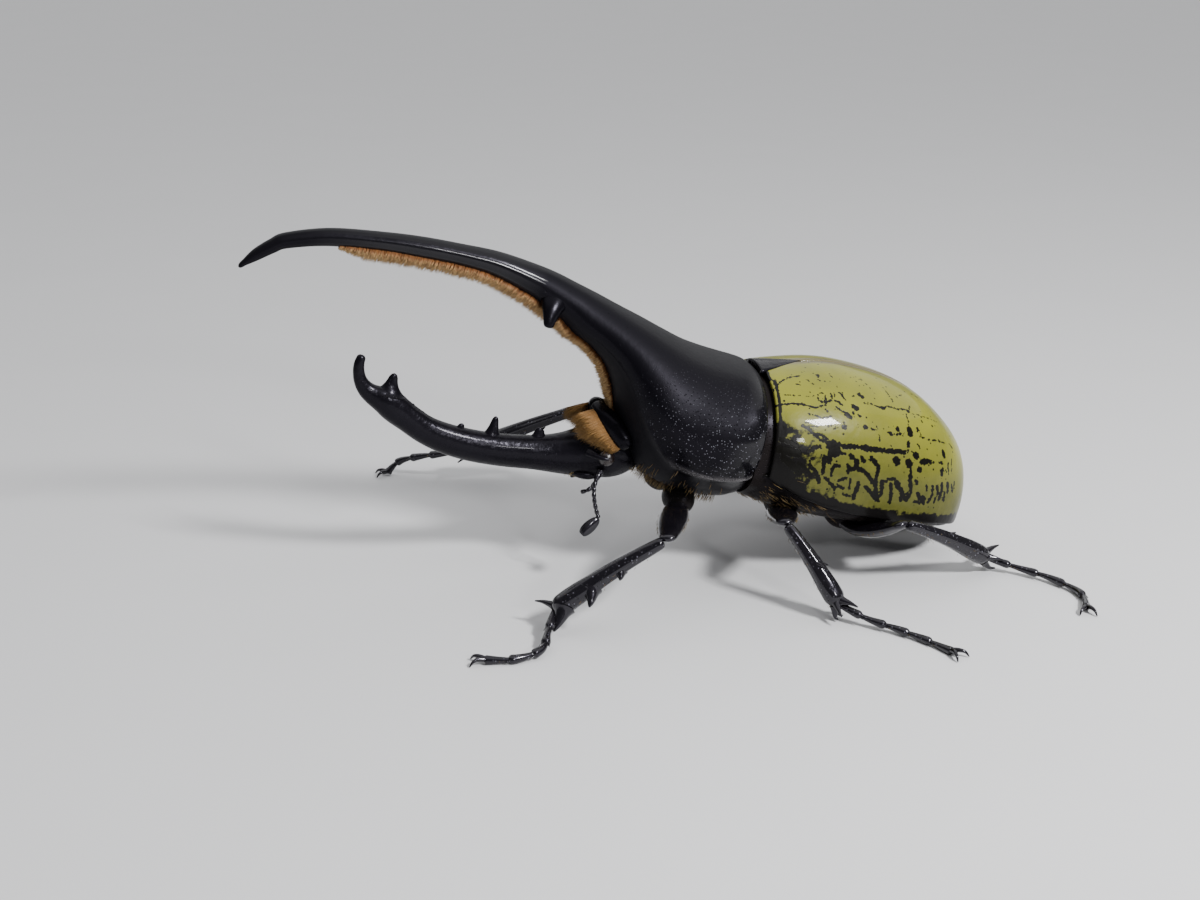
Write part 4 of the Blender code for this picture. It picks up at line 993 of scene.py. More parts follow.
def upper_paint(places, turns):
    """Painted numbers of the upper horn and pronotum, for a ring and a point of it."""

    # Share of the top band, where the lighter grey of painted light from above goes.
    def dorsal(i, k):
        limit = 0.56 - 0.08 * clamp((places[i] - 10.0) / 8.0)
        return 1.0 / (1.0 + math.exp((fold_of(turns[k]) - limit) * 14.0))

    # Where the pits lie low on the sides; the same share places the painted glints in them.
    def pits_and_glints(i, k):
        fold = fold_of(turns[k])
        share = clamp((places[i] - 14.5) / 4.0) * clamp((2.16 - fold) / 0.12)
        return share / (1.0 + math.exp((1.05 - fold) * 7.0))

    # The line of painted highlight along the side edge's bead.
    def bead(i, k):
        share = clamp((places[i] - 17.6) / 1.2)
        return share * hump(fold_of(turns[k]), side_edge(places[i]), 0.030)

    def gloss(i, k):
        front = clamp((places[i] - 3.5) / 1.5) * clamp((9.4 - places[i]) / 1.2)
        rear = clamp((places[i] - 18.9) / 0.8)
        return max(front, rear) * (1.0 - dorsal(i, k))

    def matt(i, k):
        fold = fold_of(turns[k])
        side = (1.0 - min(gloss(i, k) * 1.1, 1.0)) * hump(fold, 0.95, 0.42)
        return max(side, clamp((fold - 2.12) / 0.15))

    return {"dorsal": dorsal, "pits_and_glints": pits_and_glints, "bead": bead, "gloss": gloss, "matt": matt}


def neck_roll(share, turn):
    """The radius of the rolled edge over the neck; it is thinnest in the middle."""
    return NECK_ROLL * (0.50 + 0.50 * min(share * 1.6, 1.0))


def upper_side_parts(side):
    """A side tooth of the upper horn, and half of the rolled edge over the neck."""
    points = [in_world(point) for point in SIDE_TOOTH]
    wide = BODY_TURN @ Vector((1.0, 0.0, 0.0))
    tooth = cone(points, SIDE_TOOTH_RADII, sides=24, steps=24, flat=0.62, side_axis=wide)
    edge = [in_world(neck_edge(k / 8.0) + Vector(NECK_ROLL_BACK)) for k in range(9)]
    return [on_side(side, tooth), on_side(side, swept(edge, neck_roll, 28, 40))]


def build_upper(sizes):
    """The upper horn and pronotum, one plate in the real animal, with its side teeth."""
    turns = [2.0 * math.pi * k / UPPER_SIDES for k in range(UPPER_SIDES)]
    rings, places = upper_rings(turns, sizes.rim_bead / MM)
    parts = [woven(rings, upper_paint(places, turns))]
    for side in SIDES:
        parts += upper_side_parts(side)
    nodes = ("thoracic_horn_front", "thoracic_horn_rear", "pronotum")
    settle("upper_horn_and_pronotum", parts, "satin_and_painted_light", nodes)


def lower_ring(place, sides):
    """World points round the lower horn and head."""
    u, w, radius, share = smooth(LOWER_HORN, place)
    before = smooth(LOWER_HORN, max(place - 0.3, 0.0))
    after = smooth(LOWER_HORN, min(place + 0.3, len(LOWER_HORN) - 1.0))
    along = Vector((after[0] - before[0], after[1] - before[1])).normalized()
    up = Vector((-along.y, along.x))
    ring = []
    for k in range(sides):
        turn = 2.0 * math.pi * k / sides
        height = radius * power(math.cos(turn), 0.96)
        across = radius * share * power(math.sin(turn), 0.96)
        ring.append(in_world((u + up.x * height, across, w + up.y * height)))
    return ring


def lower_tooth(tip, front, rear, half_width):
    """A tooth on the lower horn, flared at its root and rounded at its tip."""
    sides = 28
    steps = 22
    middle = (Vector(front) + Vector(rear)) / 2.0
    arm = (Vector(rear) - Vector(front)) / 2.0
    rise = Vector(tip) - middle
    rings = []
    for k in range(steps + 1):
        share = -0.35 + 1.35 * k / steps
        flare = 1.20 * math.exp(-max(share + 0.35, 0.0) * 2.6) + 0.44 - 0.16 * max(share, 0.0)
        flare *= rounding((1.0 - share) / 0.30)
        centre = middle + rise * share
        ring = []
        for j in range(sides):
            turn = 2.0 * math.pi * j / sides
            at = centre + arm * (math.cos(turn) * flare)
            ring.append(in_world((at.x, half_width * flare * math.sin(turn), at.y)))
        rings.append(ring)
    return woven(rings)


def build_head():
    """The head and its horn with their teeth, and the plate over the mouth."""
    last = len(LOWER_HORN) - 1
    first = lower_ring(0.0, LOWER_SIDES)
    middle = middle_of(first)
    pole = middle + BODY_TURN @ Vector(LOWER_TIP_CAP)
    rings = []
    for k in range(6):
        share = k / 6.0
        rings.append([pole.lerp(middle, share) + (point - middle) * rounding(share) for point in first])
    for k in range(LOWER_STEPS + 1):
        rings.append(lower_ring(last * k / LOWER_STEPS, LOWER_SIDES))
    end = rings[-1]
    middle = middle_of(end)
    for share in (0.7, 0.35, 0.0):
        back = Vector((0.25 * (1.0 - share), 0.0, 0.0))
        rings.append([middle + (point - middle) * share + back for point in end])
    parts = [woven(rings)]
    for tooth in LOWER_TEETH:
        parts.append(lower_tooth(*tooth))
    parts.append(body_ball(FACE_CENTRE, FACE_RADII, 40, 24))
    settle("head_and_lower_horn", parts, "black", ("cephalic_horn", "head"))


def build_eyes():
    """The eyes and the thin bar of shell that crosses each of them in front."""
    for side in SIDES:
        shape = on_side(side, body_ball(EYE_CENTRE, (EYE_RADIUS,) * 3, 40, 28))
        settle(f"eyeball_{side}", [shape], "eye", (f"eye_{side}",))
        bar = cone(beside(EYE_CENTRE, EYE_BAR), EYE_BAR_RADII, sides=16, steps=14, flat=0.6)
        settle(f"eye_bar_{side}", [on_side(side, bar)], "black")


def stalk_reach(share, turn):
    """The radius of a feeler's stalk: a thicker root, then a row of beads."""
    beads = abs(math.sin(math.pi * (share * STALK_BEADS)))
    root = 0.34 * hump(share, 0.06, 0.10)
    return 0.27 + 0.17 * beads**0.7 + root


def build_antennae():
    """Beaded stalks that end in a club of three flat leaves."""
    for side in SIDES:
        points = [in_world(point) for point in STALKS[side]]
        parts = [swept(points, stalk_reach, 14, 80)]
        centre = in_world(CLUB_CENTRES[side])
        along = (centre - points[-1]).normalized()
        across = Vector((0.0, 1.0, 0.0))
        across = (across - along * along.dot(across)).normalized()
        other = along.cross(across)
        for index in (-1, 0, 1):
            turn = Matrix.Rotation(math.radians(index * CLUB_FAN), 3, other)
            axes = [turn @ along, turn @ across, other]
            parts.append(ball(centre + across * (index * CLUB_LEAF_GAP), CLUB_LEAF, axes, 28, 18))
        parts = [on_side(side, part) for part in parts]
        settle(f"feeler_{side}", parts, "leg", (f"antenna_{side}",))


def palp_reach(share, turn):
    """The radius of a mouth feeler, in beads."""
    return 0.24 + 0.20 * abs(math.sin(math.pi * share * FEELER_BEADS)) ** 0.6


def build_mouth():
    """Mandibles and jointed palps."""
    for side in SIDES:
        jaw = cone(beside(JAW_CENTRE, JAW_LINE), JAW_RADII, sides=20, steps=22, flat=0.75)
        settle(f"jaw_{side}", [on_side(side, jaw)], "black", (f"mandible_{side}",))
        palp = swept([in_world(point) for point in FEELER], palp_reach, 14, 44)
        settle(f"mouth_feeler_{side}", [on_side(side, palp)], "leg", (f"palp_{side}",))


def case_point(place, angle, inset=0.0):
    """A point of the surface over the rear trunk; angle is 0 on the ridge and a right angle at the rim."""

    def surface(at, turn):
        ridge = smooth(RIDGE, at)
        rim = smooth(RIM, at)
        sine = math.sin(turn)
        cosine = math.cos(turn)
        exponent = 2.0 / CASE_POWER
        end = ridge if cosine > 0.0 else smooth(BELLY, at)
        share = abs(cosine) ** exponent
        u = rim[0] + (end[0] - rim[0]) * share
        w = rim[2] + (end[1] - rim[2]) * share
        return Vector((u, rim[1] * power(sine, exponent), w))

    point = surface(place, angle)
    if not inset:
        return point
    step = 0.02
    along = surface(min(place + step, CASE_LAST), angle) - surface(max(place - step, 0.0), angle)
    across = surface(place, angle + step) - surface(place, angle - step)
    normal = across.cross(along).normalized()
    centre = Vector((point.x, 0.0, smooth(RIM, place)[2]))
    if normal.dot(point - centre) < 0.0:
        normal.negate()
    return point - normal * inset


def rim_drop(distance, width, depth):
    """How far a surface sinks close to an edge, for a rounded margin."""
    return depth * (1.0 - rounding(distance / width))


# Marks of a wing case: width in millimetres, then places along it and angles down its side.
CASE_STREAKS = (
    (0.46, (1.19, 17.8), (1.0, 19.1), (0.79, 19.6), (0.56, 22.3), (0.27, 27.0), (0.06, 31.5)),
    (0.5, (1.36, 22.5), (1.36, 23.4)), (0.46, (1.4, 25.6), (1.46, 25.9)),
    (0.34, (0.96, 25.9), (1.1, 27.0)), (0.69, (1.69, 17.6), (1.67, 19.4)),
    (0.46, (1.66, 22.5), (1.66, 24.1)), (0.31, (1.97, 13.3)), (0.34, (2.07, 18.2), (2.1, 19.8)),
    (0.31, (1.29, 14.4)), (0.31, (2.14, 27.4)), (0.31, (1.64, 29.5)), (0.47, (3.06, 16.9), (3.07, 18.0)),
    (0.31, (2.74, 17.3), (2.79, 17.1)), (0.28, (2.86, 20.5)), (0.35, (3.14, 20.7), (3.17, 21.4)),
    (0.35, (3.23, 23.4), (3.24, 25.0)), (0.31, (3.26, 26.3), (3.29, 27.4)), (0.25, (2.91, 24.1)),
    (0.34, (3.29, 31.5)), (0.25, (3.53, 18.2)),
    (0.25, (3.6, 19.8), (3.66, 23.4), (3.71, 26.3), (3.79, 30.8)), (0.43, (3.94, 24.8), (3.93, 26.1)),
    (0.41, (4.06, 22.5), (4.13, 21.6)), (0.31, (3.54, 31.7)),
    (0.21, (0.4, 36.0), (0.69, 35.8), (0.97, 36.0), (1.49, 35.6)),
    (0.34, (1.59, 33.5), (1.51, 36.0), (1.54, 38.7), (1.64, 39.6), (1.73, 37.6), (1.76, 34.6),
     (1.67, 33.3), (1.59, 33.5)),
    (0.37, (1.9, 33.1), (1.91, 34.6), (1.91, 36.7)), (0.31, (2.01, 32.8), (2.01, 35.6)),
    (0.4, (2.14, 32.0), (2.24, 32.8), (2.27, 35.1), (2.34, 36.7)), (0.46, (2.59, 33.5), (2.63, 33.1)),
    (0.75, (2.81, 30.8), (2.87, 31.7), (2.93, 32.8)),
    (0.42, (0.01, 45.2), (0.36, 43.4), (0.69, 42.3), (0.94, 41.8), (1.19, 42.8), (1.41, 43.9),
     (1.6, 42.8), (1.71, 41.6)),
    (0.46, (1.6, 39.6), (1.79, 39.4), (1.94, 38.0), (2.1, 38.7), (2.24, 41.2)),
    (0.42, (1.71, 45.0), (1.77, 45.7)), (0.37, (2.03, 42.3), (2.13, 43.9), (2.23, 45.0)),
    (0.99, (2.33, 45.7), (2.46, 47.2)), (1.05, (2.6, 40.3), (2.69, 41.2)),
    (0.58, (2.56, 43.9), (2.57, 44.8)), (0.61, (2.73, 45.4), (2.79, 45.9)),
    (0.42, (1.2, 48.4), (1.4, 48.8), (1.59, 50.0), (1.77, 49.5), (1.89, 48.2)),
    (0.37, (2.96, 36.4), (3.14, 36.2), (3.29, 36.9), (3.44, 36.9), (3.61, 34.9), (3.71, 35.1),
     (3.87, 34.9), (4.09, 33.5), (4.24, 33.3), (4.29, 30.4), (4.34, 29.0)),
    (0.81, (3.4, 37.1), (3.49, 36.9)), (0.52, (3.64, 34.9)), (0.6, (3.91, 34.9)), (0.62, (4.01, 34.0)),
    (0.75, (4.2, 33.3), (4.23, 34.0)), (0.5, (4.31, 29.5)),
    (0.22, (4.29, 34.9), (4.53, 33.8), (4.74, 33.3), (5.09, 31.3), (5.41, 29.7)),
    (0.35, (4.67, 33.5), (4.73, 34.0)), (0.28, (4.14, 36.4), (4.17, 39.8), (4.19, 43.0), (4.2, 45.4)),
    (0.31, (4.69, 36.7), (4.7, 38.0)), (0.27, (1.11, 54.0), (1.49, 53.6)),
    (0.27, (1.24, 55.8), (1.49, 55.4)), (0.36, (1.44, 53.6), (1.6, 54.0)),
    (0.4, (1.77, 53.6), (1.93, 52.0), (2.03, 51.1)), (0.46, (1.71, 56.7)), (0.49, (1.8, 55.1)),
    (0.36, (1.87, 54.0)), (0.49, (2.0, 54.9)), (0.4, (2.13, 54.4)), (1.1, (2.27, 53.6), (2.29, 53.6)),
    (0.31, (2.7, 51.1), (2.7, 52.4)), (0.86, (2.93, 51.5), (2.96, 51.5)),
    (0.34, (3.11, 51.3), (3.23, 52.0), (3.3, 50.6), (3.27, 49.5)), (0.34, (3.47, 50.0)),
    (0.5, (3.61, 48.4)), (0.56, (3.57, 51.3), (3.69, 51.8)), (0.75, (3.83, 47.5), (3.84, 48.2)),
    (0.62, (3.8, 52.0), (3.93, 50.2)), (0.56, (4.03, 49.3)), (1.37, (4.2, 46.4), (4.24, 48.6)),
    (0.69, (4.5, 43.4), (4.54, 44.3)), (0.25, (4.57, 45.7), (4.66, 47.5)),
    (0.34, (3.33, 53.8), (3.36, 56.9)), (0.25, (3.67, 58.0)),
    (0.28, (4.59, 48.4), (4.93, 47.7), (5.21, 45.7)), (0.47, (5.1, 46.8), (5.21, 45.7)),
    (0.62, (5.36, 44.6), (5.46, 44.6)), (0.25, (5.54, 44.1), (5.71, 43.0)),
    (0.52, (1.03, 56.2), (1.23, 57.6), (1.43, 60.5), (1.59, 62.6), (1.74, 63.0), (1.86, 65.0)),
    (0.42, (1.5, 59.6), (1.69, 60.5), (1.79, 61.6)), (1.58, (1.97, 64.8), (2.07, 67.0)),
    (0.8, (1.86, 63.4), (1.96, 66.4)), (0.67, (1.94, 68.4), (1.94, 72.4)),
    (0.67, (2.11, 63.9), (2.19, 67.7)), (0.49, (2.19, 67.7), (2.41, 66.8)),
    (0.61, (1.39, 68.6), (1.51, 67.0)), (0.36, (1.26, 69.8), (1.4, 68.8)),
    (0.42, (1.61, 65.7), (1.63, 66.8)), (0.31, (2.13, 61.9), (2.19, 62.1)),
    (0.58, (2.14, 63.2), (2.31, 63.7), (2.49, 63.0), (2.67, 62.8), (2.89, 62.3), (3.09, 62.3),
     (3.26, 61.9), (3.44, 61.4), (3.61, 61.4), (3.79, 60.3), (3.99, 59.6), (4.1, 59.6)),
    (0.89, (2.36, 63.7)), (0.89, (2.46, 63.2)), (0.82, (2.57, 63.0)), (0.8, (2.69, 62.8)),
    (0.95, (2.97, 62.3)), (0.95, (3.06, 62.3)), (0.95, (3.14, 62.1)), (0.95, (3.23, 62.1)),
    (0.9, (3.31, 61.9)), (0.9, (3.4, 61.6)), (0.83, (3.49, 61.4)), (0.9, (3.63, 61.2)),
    (0.9, (3.71, 60.8)), (0.83, (3.81, 60.5)), (0.9, (3.9, 60.3)), (0.83, (4.0, 60.1)),
    (0.75, (4.19, 53.8), (4.2, 56.0)), (0.46, (4.19, 58.5)), (0.43, (4.34, 58.0)),
    (1.0, (4.46, 59.4), (4.51, 60.1)), (0.37, (4.51, 53.3), (4.6, 55.1)), (0.4, (4.09, 61.9)),
    (1.12, (4.73, 62.1), (4.84, 61.4)), (0.94, (4.93, 60.8)), (0.75, (5.06, 60.5)), (0.62, (5.17, 60.1)),
    (0.62, (5.54, 58.0), (5.59, 58.3)), (0.95, (5.61, 50.2), (5.66, 52.9)),
    (0.37, (5.97, 40.3), (6.17, 41.8)), (0.35, (5.43, 59.0)), (0.74, (2.6, 67.7), (2.64, 68.2)),
    (0.67, (2.94, 67.5), (3.01, 68.6)), (0.34, (2.93, 67.5), (2.9, 66.8)),
    (0.49, (3.19, 66.2), (3.2, 67.5)), (0.67, (2.8, 69.5), (2.81, 71.6)),
    (0.58, (3.27, 67.3), (3.33, 68.2), (3.41, 69.3), (3.44, 71.3), (3.41, 74.0), (3.43, 77.0),
     (3.47, 79.6), (3.53, 81.9), (3.61, 84.4)),
    (0.46, (2.81, 70.4), (2.86, 72.7)), (0.46, (2.54, 72.0), (2.6, 73.6), (2.59, 75.4)),
    (0.52, (2.64, 73.8), (2.83, 72.7), (3.03, 73.1), (3.16, 74.2), (3.26, 75.8), (3.36, 77.4)),
    (0.86, (3.31, 68.2)), (1.11, (3.86, 64.8), (3.91, 65.7)), (1.12, (4.26, 64.4), (4.3, 65.2)),
    (0.87, (4.66, 66.2), (4.69, 66.6)), (0.34, (3.69, 68.4)), (0.37, (4.36, 67.0), (4.41, 70.4)),
    (0.62, (4.4, 70.4), (4.43, 73.1), (4.49, 75.4)), (0.43, (4.47, 75.4), (4.56, 78.3), (4.49, 81.7)),
    (0.62, (4.64, 72.7), (4.67, 73.4)), (0.69, (5.59, 62.6), (5.64, 64.8)),
    (0.35, (5.9, 55.1), (5.91, 58.7), (5.99, 62.1)), (0.31, (6.1, 50.6), (6.09, 55.6), (6.16, 60.5)),
    (0.31, (5.64, 60.5), (5.7, 62.1)), (0.43, (3.73, 74.9), (3.93, 73.4)),
    (0.37, (3.57, 76.0), (3.73, 75.8)), (0.81, (4.01, 75.4), (4.07, 75.8)),
    (0.56, (4.03, 76.3), (4.21, 78.1), (4.36, 81.0)), (0.56, (3.86, 76.7), (3.93, 80.6), (3.96, 84.2)),
    (0.56, (3.6, 76.3), (3.66, 80.8), (3.6, 83.2)),
    (0.61, (2.96, 79.0), (2.97, 81.0), (2.94, 83.2), (2.93, 85.3)),
    (0.37, (2.71, 77.8), (2.74, 81.0), (2.73, 82.1)), (0.55, (3.19, 79.9), (3.39, 81.9), (3.56, 84.4)),
    (0.46, (2.36, 79.9), (2.56, 78.1)), (0.46, (2.09, 78.5), (2.09, 75.6), (2.13, 73.8), (2.3, 73.4)),
    (0.49, (1.8, 70.9), (1.81, 74.7), (1.83, 78.5)), (0.4, (1.4, 74.2), (1.41, 78.5)),
    (0.42, (1.94, 80.3), (2.14, 81.9), (2.31, 83.7)), (0.42, (2.26, 83.2), (2.4, 82.1), (2.57, 82.6)),
    (0.37, (2.61, 84.6), (2.83, 85.0)), (0.5, (4.46, 79.0), (4.47, 82.1)),
    (0.5, (4.24, 78.3), (4.29, 82.6)), (0.56, (4.8, 78.3), (5.0, 81.0), (5.13, 82.1)),
    (0.37, (5.07, 73.4), (5.11, 75.6)), (0.56, (5.03, 79.4), (5.14, 80.1)),
    (0.43, (5.33, 73.1), (5.39, 77.0), (5.31, 81.4)), (0.47, (5.53, 72.4), (5.63, 76.0)),
    (0.47, (5.73, 69.8), (5.79, 73.4), (5.76, 78.8)), (0.5, (6.01, 68.2), (6.11, 72.9)),
    (0.37, (6.27, 68.2), (6.4, 72.0)), (0.35, (6.4, 65.2), (6.44, 69.5)),
    (0.43, (5.96, 74.2), (6.0, 78.8)), (0.37, (5.57, 78.5), (5.57, 81.0)),
    (0.37, (4.76, 82.1), (4.99, 82.6)), (0.67, (0.31, 68.6), (0.66, 67.5), (0.9, 69.1)),
    (1.1, (0.3, 74.2), (0.66, 73.6), (0.97, 72.4)), (0.67, (1.07, 77.4), (1.27, 78.5), (1.47, 81.2)),
    (0.85, (0.51, 78.1), (0.81, 79.0), (1.14, 81.7)), (0.55, (1.5, 77.4), (1.7, 80.1), (1.79, 82.8)),
    (0.49, (1.94, 55.4)),
)


def mark_field(points, streaks, chance):
    """Distance from each point to the nearest mark, less the mark's own half width."""
    reach = numpy.full(len(points), 3.0)
    for width, *stops in streaks:
        low = sum(angle for _, angle in stops) / len(stops)
        jitter = chance.uniform(0.90, 1.12) * (1.0 + 0.60 * clamp((low - 54.0) / 18.0))
        spots = [numpy.array(tuple(case_point(place, math.radians(angle)))) for place, angle in stops]
        if len(spots) == 1:
            spots.append(spots[0] + 1.0e-4)
        for start, end in zip(spots, spots[1:]):
            run = end - start
            share = numpy.clip((points - start) @ run / max(run @ run, 1.0e-12), 0.0, 1.0)
            gap = numpy.linalg.norm(points - start - share[:, None] * run, axis=1)
            reach = numpy.minimum(reach, gap - width * jitter / 2.0)
    return reach


def case_ring(place, angles, line):
    """World points over a wing case at one place, with rounded margins and its folded edge."""
    ring = []
    for angle, point in zip(angles, line):
        sunk = rim_drop(abs(point.y) - HALF_GAP, 0.5, 0.35)
        sunk += rim_drop(place * STATION, 0.8, 0.6)
        at = case_point(place, angle, sunk) if sunk > 0.0 else point.copy()
        at.y = max(at.y, HALF_GAP)
        ring.append(at)
    rim = ring[-1]
    ring += [rim + Vector(step) for step in CASE_HEM]
    return [in_world(at) for at in ring]


def case_paint(places, angles, flat, marks):
    """Painted numbers of a wing case, for a column and a row of its points."""

    def mark(i, k):
        return float(marks[i][min(k, CASE_ROWS)])

    def edge(i, k):
        k = min(k, CASE_ROWS)
        rim = (flat[i][k] - flat[i][CASE_ROWS]).length * 0.37
        front = places[i] * STATION
        turn = math.degrees(angles[k])
        corner = 0.74 * math.hypot(front / 8.5, (90.0 - turn) / 36.0)
        lip = 0.2 + 1.2 * abs(front - 1.1) if 22.0 < turn < 62.0 else front * 0.8
        return min(rim, lip, corner)

    # Share of the painted shade, growing towards the lower rim.
    def low(i, k):
        return clamp((min(k, CASE_ROWS) / CASE_ROWS - 0.43) / 0.42)

    def seam(i, k):
        return clamp((2.3 - abs(flat[i][min(k, CASE_ROWS)].y)) / 1.1)

    return {"mark": mark, "edge": edge, "low": low, "seam": seam}


def build_case(side):
    """A wing case: a thin domed shell with rounded edges and its own marks."""
    places = [CASE_LAST * k / CASE_COLUMNS for k in range(CASE_COLUMNS + 1)]
    angles = [math.pi / 2.0 * k / CASE_ROWS for k in range(CASE_ROWS + 1)]
    flat = [[case_point(place, angle) for angle in angles] for place in places]
    points = numpy.array([tuple(point) for line in flat for point in line])
    marks = mark_field(points, CASE_STREAKS, random.Random(CASE_SEEDS[side]))
    marks = marks.reshape(CASE_COLUMNS + 1, CASE_ROWS + 1)
    rings = [case_ring(place, angles, line) for place, line in zip(places, flat)]
    shape = woven(rings, case_paint(places, angles, flat, marks), closed=False)
    nodes = (f"elytron_{side}",)
    thicken(settle(f"wing_case_{side}", [on_side(side, shape)], "case", nodes), CASE_THICK)


def build_shield():
    """The small shield between the wing cases' roots."""
    slope = (RIDGE[2][1] - RIDGE[0][1]) / (RIDGE[2][0] - RIDGE[0][0])
    rings = []
    for k in range(SHIELD_STEPS + 1):
        share = k / SHIELD_STEPS
        u = SHIELD_FRONT_U + (SHIELD_TIP_U - SHIELD_FRONT_U) * share
        half = SHIELD_HALF_WIDTH * max(1.0 - share**1.35, 0.0)
        ring = []
        for j in range(SHIELD_STEPS + 1):
            t = 2.0 * j / SHIELD_STEPS - 1.0
            crown = 0.45 * (1.0 - t * t) * (1.0 - share) - 0.10
            edge = rim_drop(half * (1.0 - abs(t)), 0.5, 0.5)
            w = RIDGE[0][1] + slope * (u - RIDGE[0][0]) + 0.35 + crown - edge
            ring.append(in_world((u, half * t, w - 0.05 * t * t * half)))
        rings.append(ring)
    shape = woven(rings, closed=False)
    thicken(settle("small_shield", [shape], "black", ("scutellum",)), SHIELD_THICK)


def trunk_shape():
    """The trunk under the wing cases, with furrows between the plates of its belly."""
    rings = []
    for k in range(TRUNK_COLUMNS + 1):
        place = CASE_LAST * TRUNK_SHARE * k / TRUNK_COLUMNS
        ring = []
        for j in range(TRUNK_SIDES):
            angle = 2.0 * math.pi * j / TRUNK_SIDES
            turn = angle if angle <= math.pi else 2.0 * math.pi - angle
            covered = CASE_THICK + 0.4 if turn <= math.pi / 2.0 + 0.01 else 1.2
            furrow = 0.0
            if turn > math.pi / 2.0 and place > FURROW_START:
                furrow = FURROW_DEPTH * max(0.0, math.cos(place * math.pi * 2.0 / FURROW_STEP)) ** 10
            point = case_point(place, turn, covered + furrow)
            if angle > math.pi:
                point.y = -point.y
            if j in (0, TRUNK_SIDES // 2):
                point.y = 0.0
            ring.append(in_world(point))
        rings.append(ring)
    reach = BODY_TURN @ Vector((4.0, 0.0, 0.0))
    rings.insert(0, [point - reach for point in rings[0]])
    for ring, position in ((rings[0], 0), (rings[-1], len(rings))):
        rings.insert(position, [middle_of(ring)] * TRUNK_SIDES)
    return woven(rings)


def cut_off(shape, point, normal):
    """Cuts away what lies on the normal's side of a plane and closes the shape again."""
    geometry = list(shape.verts) + list(shape.edges) + list(shape.faces)
    bmesh.ops.bisect_plane(shape, geom=geometry, dist=1.0e-5, plane_co=point, plane_no=normal,
                           clear_outer=True)
    edges = [edge for edge in shape.edges if edge.is_boundary]
    bmesh.ops.holes_fill(shape, edges=edges)
    return shape


def build_trunk():
    """Chest, belly and rump under the wing cases."""
    along = BODY_TURN @ Vector((1.0, 0.0, 0.0))
    top, bottom, _, _ = PRONOTUM[-1]
    top = in_world((top[0], 0.0, top[1]))
    bottom = in_world((bottom[0], 0.0, bottom[1]))
    rearward = Vector((0.0, 1.0, 0.0)).cross((bottom - top).normalized())
    if rearward.x < 0.0:
        rearward.negate()
    chest_end = in_world((CHEST_END_U, 0.0, 0.0))
    rump_start = in_world((RUMP_START_U, 0.0, 0.0))
    chest = cut_off(trunk_shape(), top + rearward * 0.3, -rearward)
    chest = cut_off(chest, chest_end - along * CUT_GAP, along)
    belly = cut_off(trunk_shape(), chest_end + along * CUT_GAP, -along)
    belly = cut_off(belly, rump_start - along * CUT_GAP, along)
    rump = cut_off(trunk_shape(), rump_start + along * CUT_GAP, -along)
    for name, node, shape in (("chest", "metathorax", chest), ("belly", "abdomen", belly),
                              ("rump", "pygidium", rump)):
        settle(name, [shape], "belly", (node,), crease=math.radians(35.0))


def thigh_path(leg):
    """World points from the hip to the knee, hanging a little below the straight line."""
    sizes = LEG_SIZES[leg["kind"]]
    hip = Vector(leg["hip"]) + Vector((sizes["back"], 0.0, 0.0))
    knee = Vector(leg["knee"])
    points = []
    for k in range(len(THIGH_RADII)):
        share = 0.06 + 0.94 * k / (len(THIGH_RADII) - 1)
        point = hip.lerp(knee, share)
        point.z -= sizes["sag"] * math.sin(math.pi * share) + (1.0 - share) * sizes["drop"]
        points.append(point)
    return points


def build_thighs():
    """Hips and broad flat thighs of all six legs."""
    axes = [Vector((0.0, 1.0, 0.0)), UP, Vector((1.0, 0.0, 0.0))]
    for name, leg in LEGS.items():
        long, thick = leg_size(leg, "hip")
        centre = Vector(leg["hip"]) + Vector((leg_size(leg, "back"), 0.0, 0.0))
        hip = ball(centre, (long, thick, thick), axes, 48, 30)
        settle(f"hip_{name}", [hip], "belly", (f"coxa_{name}",))
        path = thigh_path(leg)
        size = leg_size(leg, "thigh")
        side = (path[-1] - path[0]).cross(UP).normalized()

        def reach(share, turn):
            plain = size * smooth_number(THIGH_RADII, share * (len(THIGH_RADII) - 1))
            return plain * (1.0 + 0.03 * hump(abs(math.cos(turn)), 1.0, 0.15))

        thigh = swept(path, reach, 40, 70, THIGH_FLAT, side)
        settle(f"thigh_{name}", [thigh], "leg", (f"femur_{name}",))


def spine_points(leg, share, lean, turn, length, radius):
    """World points along one tooth or spine of a shin, leaning towards the foot."""
    knee = Vector(leg["knee"])
    ankle = Vector(leg["ankle"])
    ahead = (ankle - knee).normalized()
    outer = UP
    if leg["kind"] == "front":
        outer = Vector((0.0, math.copysign(1.0, knee.y), -FRONT_TOOTH_DROP))
    outer = (outer - ahead * ahead.dot(outer)).normalized()
    away = Matrix.Rotation(math.radians(turn), 3, ahead) @ outer
    size = leg_size(leg, "shin")
    around = size * smooth_number(SHIN_RADII, min(share, 0.97) * (len(SHIN_RADII) - 1))
    root = knee.lerp(ankle, share) + away * (around * 0.45)
    point = (away + ahead * lean).normalized()
    bend = root + point * (around * 0.45 + length * 0.45)
    tip = root + (point + ahead * 0.12).normalized() * (around * 0.55 + length)
    bend.z = max(bend.z, SPINE_CLEAR + radius * 0.6)
    tip.z = max(tip.z, SPINE_CLEAR)
    return [root, bend, tip]


